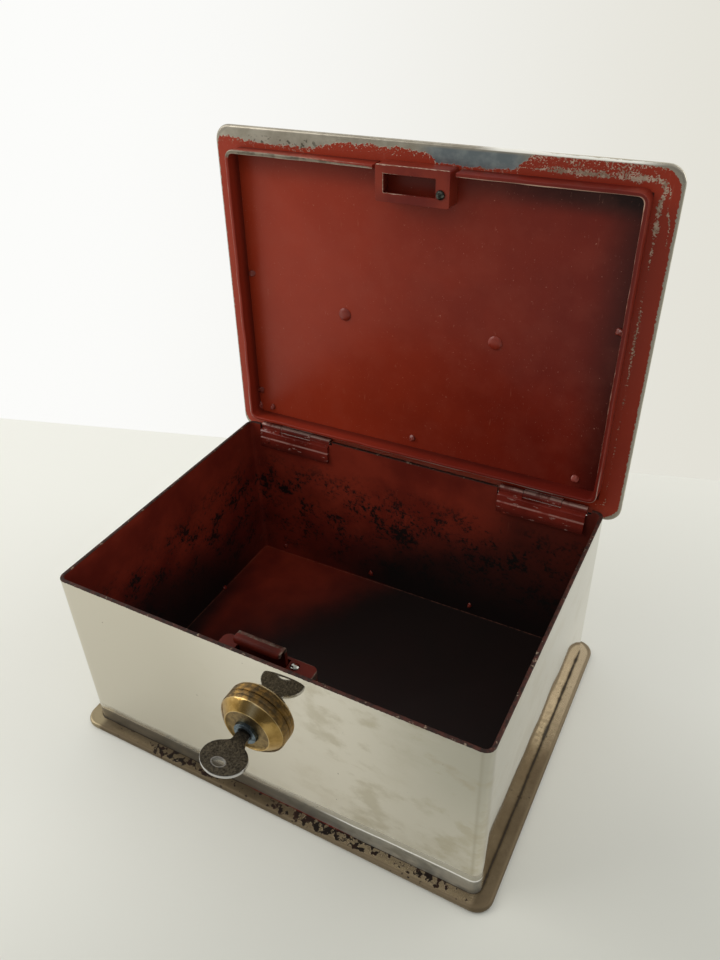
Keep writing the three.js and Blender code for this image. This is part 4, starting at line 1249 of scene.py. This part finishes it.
@dataclass
class Lock:
    """The lock: brass boss, zinc cylinder, plug, key, case, hook and trigger."""

    ring: float = 12.9
    hole_x: float = -1.6
    hole_from_end: float = 6.5
    hole_radius: float = 3.4
    hole_oval: float = 0.66
    bore: float = 6.46
    dish: float = 0.9
    band: float = 5.0
    shoulder: tuple[float, float] = (3.2, 3.0)

    def boss_points(self) -> tuple[np.ndarray, list]:
        """Turns the boss's profile about its own axis: point = (r cos a, depth, r sin a).

        The bore's circles lie about the lock's axis, which is a little to one side of the boss's.

        Returns:
            Points in millimetres and faces.
        """
        low, high = node_box("lock_boss")
        lock_low, lock_high = node_box("cylinder_body")
        middle, lock = (low + high) / 2, (lock_low + lock_high) / 2
        front, wall, radius = float(low[1]), float(high[1]), float(high[0] - low[0]) / 2
        ring = self.ring
        floor, (wide, deep) = front + self.dish, self.shoulder
        bore = [(self.bore, wall), (self.bore, front + 1.2), (6.6, front + 0.96), (6.8, floor)]
        rest = [(10.6, floor), (ring - 1.1, floor), (ring - 0.8, front + 0.8),
                (ring - 0.55, front + 0.25), (ring - 0.35, front + 0.06), (ring - 0.1, front),
                (ring + 0.15, front + 0.05), (ring + 0.45, front + 0.24), (ring + 1.6, front + 0.98),
                (ring + 3.0, front + 2.06), (radius - 1.6, front + 3.0),
                *((radius - wide * (1 - math.sin(b)), front + 5.74 - deep * math.cos(b))
                  for b in np.radians(range(45, 91, 9))),
                (radius, wall - 2.65), (radius - 0.06, wall - 2.55), (radius - 0.06, wall - 2.45),
                (radius, wall - 2.35), (radius, wall - 0.5), (radius - 0.15, wall - 0.12), (radius - 0.5, wall)]
        profile = np.array(bore + rest)
        own = np.repeat([[lock[0], lock[2]], [middle[0], middle[2]]], [len(bore), len(rest)], axis=0)
        sides = 128
        a = np.linspace(0, 2 * np.pi, sides + 1)[:-1, None]
        grid = np.stack(np.broadcast_arrays(own[:, 0] + profile[:, 0] * np.cos(a), profile[:, 1] + 0 * a,
                                            own[:, 1] + profile[:, 0] * np.sin(a)), -1)
        return grid.reshape(-1, 3), grid_faces(sides, len(profile), True, True).tolist()

    def boss_material(self) -> bpy.types.Material:
        """Paints the boss in its three zones."""
        low, high = node_box("lock_boss")
        c = Canvas("brass_turned")
        axis = (float(low[0] + high[0]) / 2, float(low[2] + high[2]) / 2)
        return c.finish(TurnedBrass().look(c, axis, self.ring, float(high[1]) - self.band))

    def key_material(self) -> bpy.types.Material:
        """Paints the key: dark mottled faces, stippled by wear, with bright bevelled edges."""
        low, high = node_box("key")
        c = Canvas("steel_key_nickel_worn")
        mottle = c.mottle(0.9, 6, 0.34, 0.66, seed=111)
        faces = c.tint(mottle, "#544D41", "#2B2721")
        relief = c.mottle(0.9, 3, 0.35, 0.65, seed=112) * 0.05
        flat = Look(faces, mottle * 0.18 + 0.3, 0.9, relief)
        middle = float(low[2] + high[2]) / 2
        half = float(high[2] - low[2]) / 2
        off = abs(c.z - middle)
        edge = c.step(off + c.grain(2.5, 4, seed=113) * 0.12, half - 0.02, half - 0.14)
        hole_x = c.x - self.hole_x
        hole_y = (c.y - (float(low[1]) + self.hole_from_end)) / self.hole_oval
        to_hole = c.length(hole_x, hole_y)
        edge = edge * c.step(to_hole, self.hole_radius + 0.5, self.hole_radius + 0.8, 0.1, 1.0)
        collar = c.between(to_hole, self.hole_radius - 0.1, self.hole_radius + 0.7, 0.2) * 0.32
        edge = c.most(edge, collar)
        bright = Look("#C6C4C2", 0.22, 1.0, 0.0)
        return c.finish(c.over(edge, flat, bright))

    def key_shape(self) -> bpy.types.Object:
        """Softens the key and draws its ring hole in to an oval, longer across than along."""
        obj = softened("key", 0.12, 2)
        low, _ = node_box("key")
        at = np.empty(len(obj.data.vertices) * 3)
        obj.data.vertices.foreach_get("co", at)
        at = at.reshape(-1, 3) / MM
        hole = np.array([self.hole_x, float(low[1]) + self.hole_from_end])
        off = at[:, :2] - hole
        inside = np.linalg.norm(off, axis=1) < self.hole_radius + 0.25
        at[inside, 1] = hole[1] + off[inside, 1] * self.hole_oval
        obj.data.vertices.foreach_set("co", (at * MM).ravel())
        obj.data.update()
        LOG.info("key: %d points of the ring hole drawn in", int(inside.sum()))
        return obj

    def worn_paint(self, name: str, high: float, right: float, rear_y: float) -> bpy.types.Material:
        """Paints the case or the hook: red, rubbed to metal along its top's rear edge and at its right end, with
        painted shade on the front below its top.

        Args:
            name: the material's name.
            high: the piece's top in millimetres.
            right: X in millimetres of the piece's right end.
            rear_y: distance behind the box's front face at which the rubbed rear band begins.

        Returns:
            The material.
        """
        c = Canvas(name)
        paint = RedOxide(lit="#5A1D14", deep="#3C130D", rough=0.34).look(c)
        bare = BareSteel(tone="#70665B", dark="#3E352E").look(c)
        # Painted shade on the front face below the top.
        shade = c.step(c.z, high - 3.2, high - 6.0) * c.step(c.y, PLAN.front + 12, PLAN.front + 10) * 0.85
        c.dye(paint, shade, "#120B0A")
        rear_y += PLAN.front
        rear = c.step(c.y, rear_y, rear_y + 0.7) * c.step(c.z, high - 2.5, high - 1.2) * 0.8
        end = c.near(c.x, right, 0.5, 0.4) * c.step(c.z, high - 4.5, high - 3.0) * 0.8
        grain = c.step(c.grain(3, 6, seed=121), 0.36, 0.56, 0.35, 1.0)
        look = c.over(c.most(rear, end) * grain, paint, bare)
        return c.finish(look, gloss=0.1)

    def build(self) -> None:
        """Builds the lock's pieces."""
        points, faces = self.boss_points()
        dress(make_object("lock_boss_turned", points, faces, 50), "box", "brass", self.boss_material(), "lock_boss")
        wear("cylinder_body", "box", "zinc", CAST_ZINC.material(), 0.2)
        wear("cylinder_plug", "plug", "dark_steel", OILED_STEEL.material(), 0.15, 2)
        wear("lock_cam", "plug", "steel", WORN_STEEL.material(), 0.2, 2)
        dress(self.key_shape(), "loose_key", "key_steel", self.key_material(), "key")
        wear("hook_pivot", "box", "steel", WORN_STEEL.material(), 0.2, 2)
        _, case_high = node_box("lock_case")
        case = self.worn_paint("red_oxide_lock_case", float(case_high[2]), float(case_high[0]), 18.8)
        wear("lock_case", "box", "red_oxide", case, 0.4)
        _, hook_high = node_box("lock_hook")
        hook = self.worn_paint("red_oxide_hook", float(hook_high[2]), float(hook_high[0]), 12.4)
        wear("lock_hook", "hook", "red_oxide", hook, 0.45)
        wear("trigger_button", "trigger", "steel", RUBBED_STEEL.material(), 0.3)


@dataclass
class Handle:
    """The swinging handle on the lid's outer side, with its two eyed posts, peened and painted over inside."""

    def post_material(self) -> bpy.types.Material:
        """Paints a post: nickel outside the lid, red on its peened head inside."""
        c = Canvas("nickel_plate_post", Draw.ON_LID)
        head = c.step(c.z, PLAN.lid_under + 0.5, PLAN.lid_under + 0.2)
        return c.finish(c.over(head, MirrorNickel(stain_mm=9).look(c), RedOxide().look(c)))

    def bail_material(self) -> bpy.types.Material:
        """Paints the bail: the same nickel, dulled where a hand holds it."""
        c = Canvas("nickel_plate_bail")
        look = MirrorNickel(stain_mm=12).look(c)
        look.rough = look.rough + 0.1
        return c.finish(look)

    def build(self) -> None:
        """Builds the posts and the bail."""
        post = self.post_material()
        for side in Side:
            node = f"handle_post_{side.name.lower()}"
            wear(node, "lid", "nickel_plate", post, 0.25)
        wear("bail_handle", "handle", "nickel_plate", self.bail_material(), 0.3)


@dataclass
class WeldBlobs:
    """Spot weld beads left under the paint: low lumps a few millimetres wide."""

    radius: float = 2.1
    rise: float = 0.95

    def bead(self, seed: int) -> tuple[np.ndarray, np.ndarray]:
        """Makes one bead: a sphere whose radius is 1 plus a few seeded waves, flattened upwards.

        Args:
            seed: picks the lump's own waves.

        Returns:
            Grid points about its own centre, and the grid's faces.
        """
        rng = np.random.default_rng(seed)
        rings, around = 13, 20
        v = np.linspace(0, np.pi, rings)[:, None]
        u = np.linspace(0, 2 * np.pi, around + 1)[None, :-1]
        lump = np.ones((rings, around))
        for _ in range(5):
            k, m, phase = rng.integers(1, 5), rng.integers(1, 4), rng.uniform(0, 6.28)
            lump = lump + rng.uniform(0.06, 0.16) * np.sin(k * u + phase) * np.sin(m * v)
        x = self.radius * lump * np.sin(v) * np.cos(u) * rng.uniform(0.8, 1.2)
        y = self.radius * lump * np.sin(v) * np.sin(u)
        z = self.rise * lump * np.cos(v) + 0 * u
        return np.stack([x, y, z], -1).reshape(-1, 3), grid_faces(rings, around, False, True)

    def cluster(self, name: str, places: np.ndarray, ups: np.ndarray) -> bpy.types.Object:
        """Joins beads at places, each with its flat side towards the sheet that it lies on."""
        points, faces, start = [], [], 0
        for number, (place, up) in enumerate(zip(places, ups)):
            own, cells = self.bead(number * 7 + len(name))
            turn = np.array(Vector((0, 0, 1)).rotation_difference(Vector(up)).to_matrix())
            points.append(own @ turn.T + place)
            faces.append(cells + start)
            start += len(own)
        return make_object(name, np.concatenate(points), np.concatenate(faces).tolist(), 60)

    def build(self) -> None:
        """Puts the beads where the photograph shows them."""
        under = PLAN.lid_under + 0.2
        on_lid = [(-110, 76), (-111, 155), (-113, 166.5), (-103, 165.5), (-1, 163), (100, 163), (110.5, 73)]
        places = np.array([(x, PLAN.front + y, under - 0.8) for x, y in on_lid], float)
        tilt, corner_x, corner_y = 0.35, 105, 160
        lean = np.array([(tilt * -np.sign(x) * (abs(x) > corner_x), tilt * -(y > corner_y), -1)
                         for x, y in on_lid], float)
        turn, _ = PLAN.opening()
        c = Canvas("red_oxide_bead_lid", Draw.ON_LID)
        # The beads' paint is laid lighter than the lid's: painted highlight standing in for their glints.
        paint = RedOxide(lit="#94443A", deep="#6E2A20", rough=0.2).look(c)
        obj = self.cluster("weld_beads_lid", PLAN.opened(places), lean @ turn.T)
        dress(obj, "lid", "red_oxide", c.finish(paint))
        inner_x, inner_y = PLAN.half_x - PLAN.wall, PLAN.half_y - PLAN.wall
        floor = PLAN.floor
        hinge = node_box("hinge_body_leaf_left")
        spots = [(-inner_x + 0.4, 34, floor + 0.8, (1, 0, 0.6)), (-100, inner_y - 0.3, floor + 5.6, (0, -1, 0.2)),
                 (-29, inner_y - 0.3, floor + 7.0, (0, -1, 0.2)), (45, inner_y - 0.3, floor + 7.4, (0, -1, 0.2)),
                 (-104, float(hinge[0][1]) + 0.3, floor + 97.5, (0, -1, 0.3)),
                 (64, float(hinge[0][1]) + 0.9, floor + 92.6, (0, -1, 0.3))]
        places = np.array([s[:3] for s in spots], float)
        ups = np.array([s[3] for s in spots], float)
        c = Canvas("red_oxide_bead_box")
        obj = WeldBlobs(radius=1.8, rise=0.9).cluster("weld_beads_box", places, ups)
        dress(obj, "box", "red_oxide", c.finish(RedOxide(lit="#6E281D", rough=0.2).look(c)))


@dataclass
class Studio:
    """The pale table, the white room light and the camera at the photograph's place."""

    eye: tuple[float, float, float] = (174.83, -288.32, 390.11)
    azimuth: float = 29.22
    elevation: float = 35.03
    roll: float = -2.07
    focal_px: float = 806.95
    frame_px: float = 960.0
    # Table colours: its own, its painted light at the back left and its painted shade at the front right.
    table: str = "#E9E9E2"
    table_lit: str = "#F4F4EE"
    table_shaded: str = "#C8C9C2"
    wall_left: str = "#FCFCFA"
    wall_right: str = "#E3E1D7"
    dim: float = 0.68
    bright: float = 0.92
    dark_room: float = 0.2
    lamp_power: float = 13.0
    fill_power: float = 6.0
    ceiling: float = 0.85
    table_side: float = 2500.0
    table_front: float = 3500.0

    def camera(self) -> None:
        """Places the camera: its back axis from azimuth and elevation, then rolled about it."""
        az, el, ro = (math.radians(v) for v in (self.azimuth, self.elevation, self.roll))
        back = Vector((math.sin(az) * math.cos(el), -math.cos(az) * math.cos(el), math.sin(el)))
        right = (-back).cross(Vector((0, 0, 1))).normalized()
        up = right.cross(-back)
        rolled = right * math.cos(ro) + up * math.sin(ro)
        upright = up * math.cos(ro) - right * math.sin(ro)
        data = bpy.data.cameras.new("photo_camera")
        data.sensor_fit = "AUTO"
        data.sensor_width = SENSOR_MM
        data.lens = self.focal_px / self.frame_px * SENSOR_MM
        data.clip_start, data.clip_end = 0.01, 20.0
        obj = linked("photo_camera", data)
        place = Matrix((rolled, upright, back)).transposed().to_4x4()
        place.translation = Vector(self.eye) * MM
        obj.matrix_world = place
        bpy.context.scene.camera = obj

    def floor(self) -> None:
        """Lays the table top, which ends behind the box along the line that the photograph shows."""
        left, right = Vector((-461.7, 138.6, 0)), Vector((170.0, 325.3, 0))
        along = (right - left).normalized()
        far_left, far_right = left - along * self.table_side, right + along * self.table_side
        near = Vector((along.y, -along.x, 0)) * self.table_front
        corners = [far_left, far_right, far_right + near, far_left + near]
        mesh = bpy.data.meshes.new("table_top")
        mesh.from_pydata([(p.x * MM, p.y * MM, -0.0002) for p in corners], [], [(3, 2, 1, 0)])
        obj = linked("table_top", mesh)
        c = Canvas("painted_table_pale")
        # Painted light and shade: the table lighter away to the back left and darker towards the front right.
        away = c.x * -0.75 + c.y * 0.6 + c.grain(160, 3, seed=131) * 60
        colour = c.tint(c.step(away, -200, 480), self.table, self.table_lit)
        shade = c.x * 0.55 + c.y * -0.66
        colour = c.tint(c.step(shade, 40, 210), colour, self.table_shaded)
        mesh.materials.append(c.finish(Look(colour, 0.55, 0.0, 0.0)))
        if mesh.polygons[0].normal.z < 0:
            mesh.flip_normals()

    def lights(self) -> None:
        """Lights the room: the world is brightest towards the left, where the photograph's window is.

        The camera sees the wall's own pale colours, a mirror sees the room with its darker front right,
        and everything else gets the room's light.
        """
        world = bpy.data.worlds.new("pale_room")
        bpy.context.scene.world = world
        world.use_nodes = True
        tree = world.node_tree
        tree.nodes.clear()
        w = Wiring(tree)
        x, y, z = w.axes(w.put("ShaderNodeTexCoord", out="Generated"))
        wall = w.tint(w.step(x, -0.75, 0.0), self.wall_left, self.wall_right)
        lit = w.step(x, 0.7, -0.8, self.dim, self.bright)
        overhead = w.step(z, 0.5, 0.8, 0.0, self.ceiling) * w.step(x, -0.35, 0.1, 0.25, 1.0)
        mirrored = w.most(w.step(y, -0.25, 0.3), w.step(x, -0.45, -0.85, 0.0, 1.15), self.dark_room, overhead)
        rays = add_node(tree, "ShaderNodeLightPath").outputs
        mix = w.put("ShaderNodeBackground", {"Color": "#F1F1EE", "Strength": lit})
        for ray, colour, strength in (("Is Glossy Ray", "#EFEEE9", mirrored), ("Is Camera Ray", wall, 1.0)):
            top = w.put("ShaderNodeBackground", {"Color": colour, "Strength": strength})
            mix = w.put("ShaderNodeMixShader", {0: rays[ray], 1: mix, 2: top})
        add_node(tree, "ShaderNodeOutputWorld", {"Surface": mix})
        self.lamp("window", (-1500, -700, 1300), 1300, self.lamp_power)
        self.lamp("right_wall", (1100, 700, 900), 1500, self.fill_power)

    def lamp(self, name: str, place: Sequence[float], size: float, power: float) -> None:
        """Adds a square soft light aimed at the box."""
        data = bpy.data.lights.new(name, "AREA")
        data.size = size * MM
        data.energy = power
        data.color = hex_colour("#FFFDF8")[:3]
        obj = linked(name, data)
        obj.location = Vector(place) * MM
        obj.rotation_mode = "QUATERNION"
        obj.rotation_quaternion = (Vector((0, 0, 100)) * MM - obj.location).to_track_quat("-Z", "Y")

    def build(self) -> None:
        """Builds the stage."""
        self.camera()
        self.floor()
        self.lights()
        bpy.context.scene.view_settings.view_transform = "Standard"


def main() -> None:
    """Builds the stage and every sub-assembly in order."""
    logging.basicConfig(level=logging.INFO, format="%(name)s %(message)s")
    Studio().build()
    for assembly in (Plates(), BodyShell(), Lid(), Hinges(), Lock(), Handle(), WeldBlobs()):
        LOG.info("building %s", type(assembly).__name__)
        assembly.build()


if __name__ == "__main__":
    main()
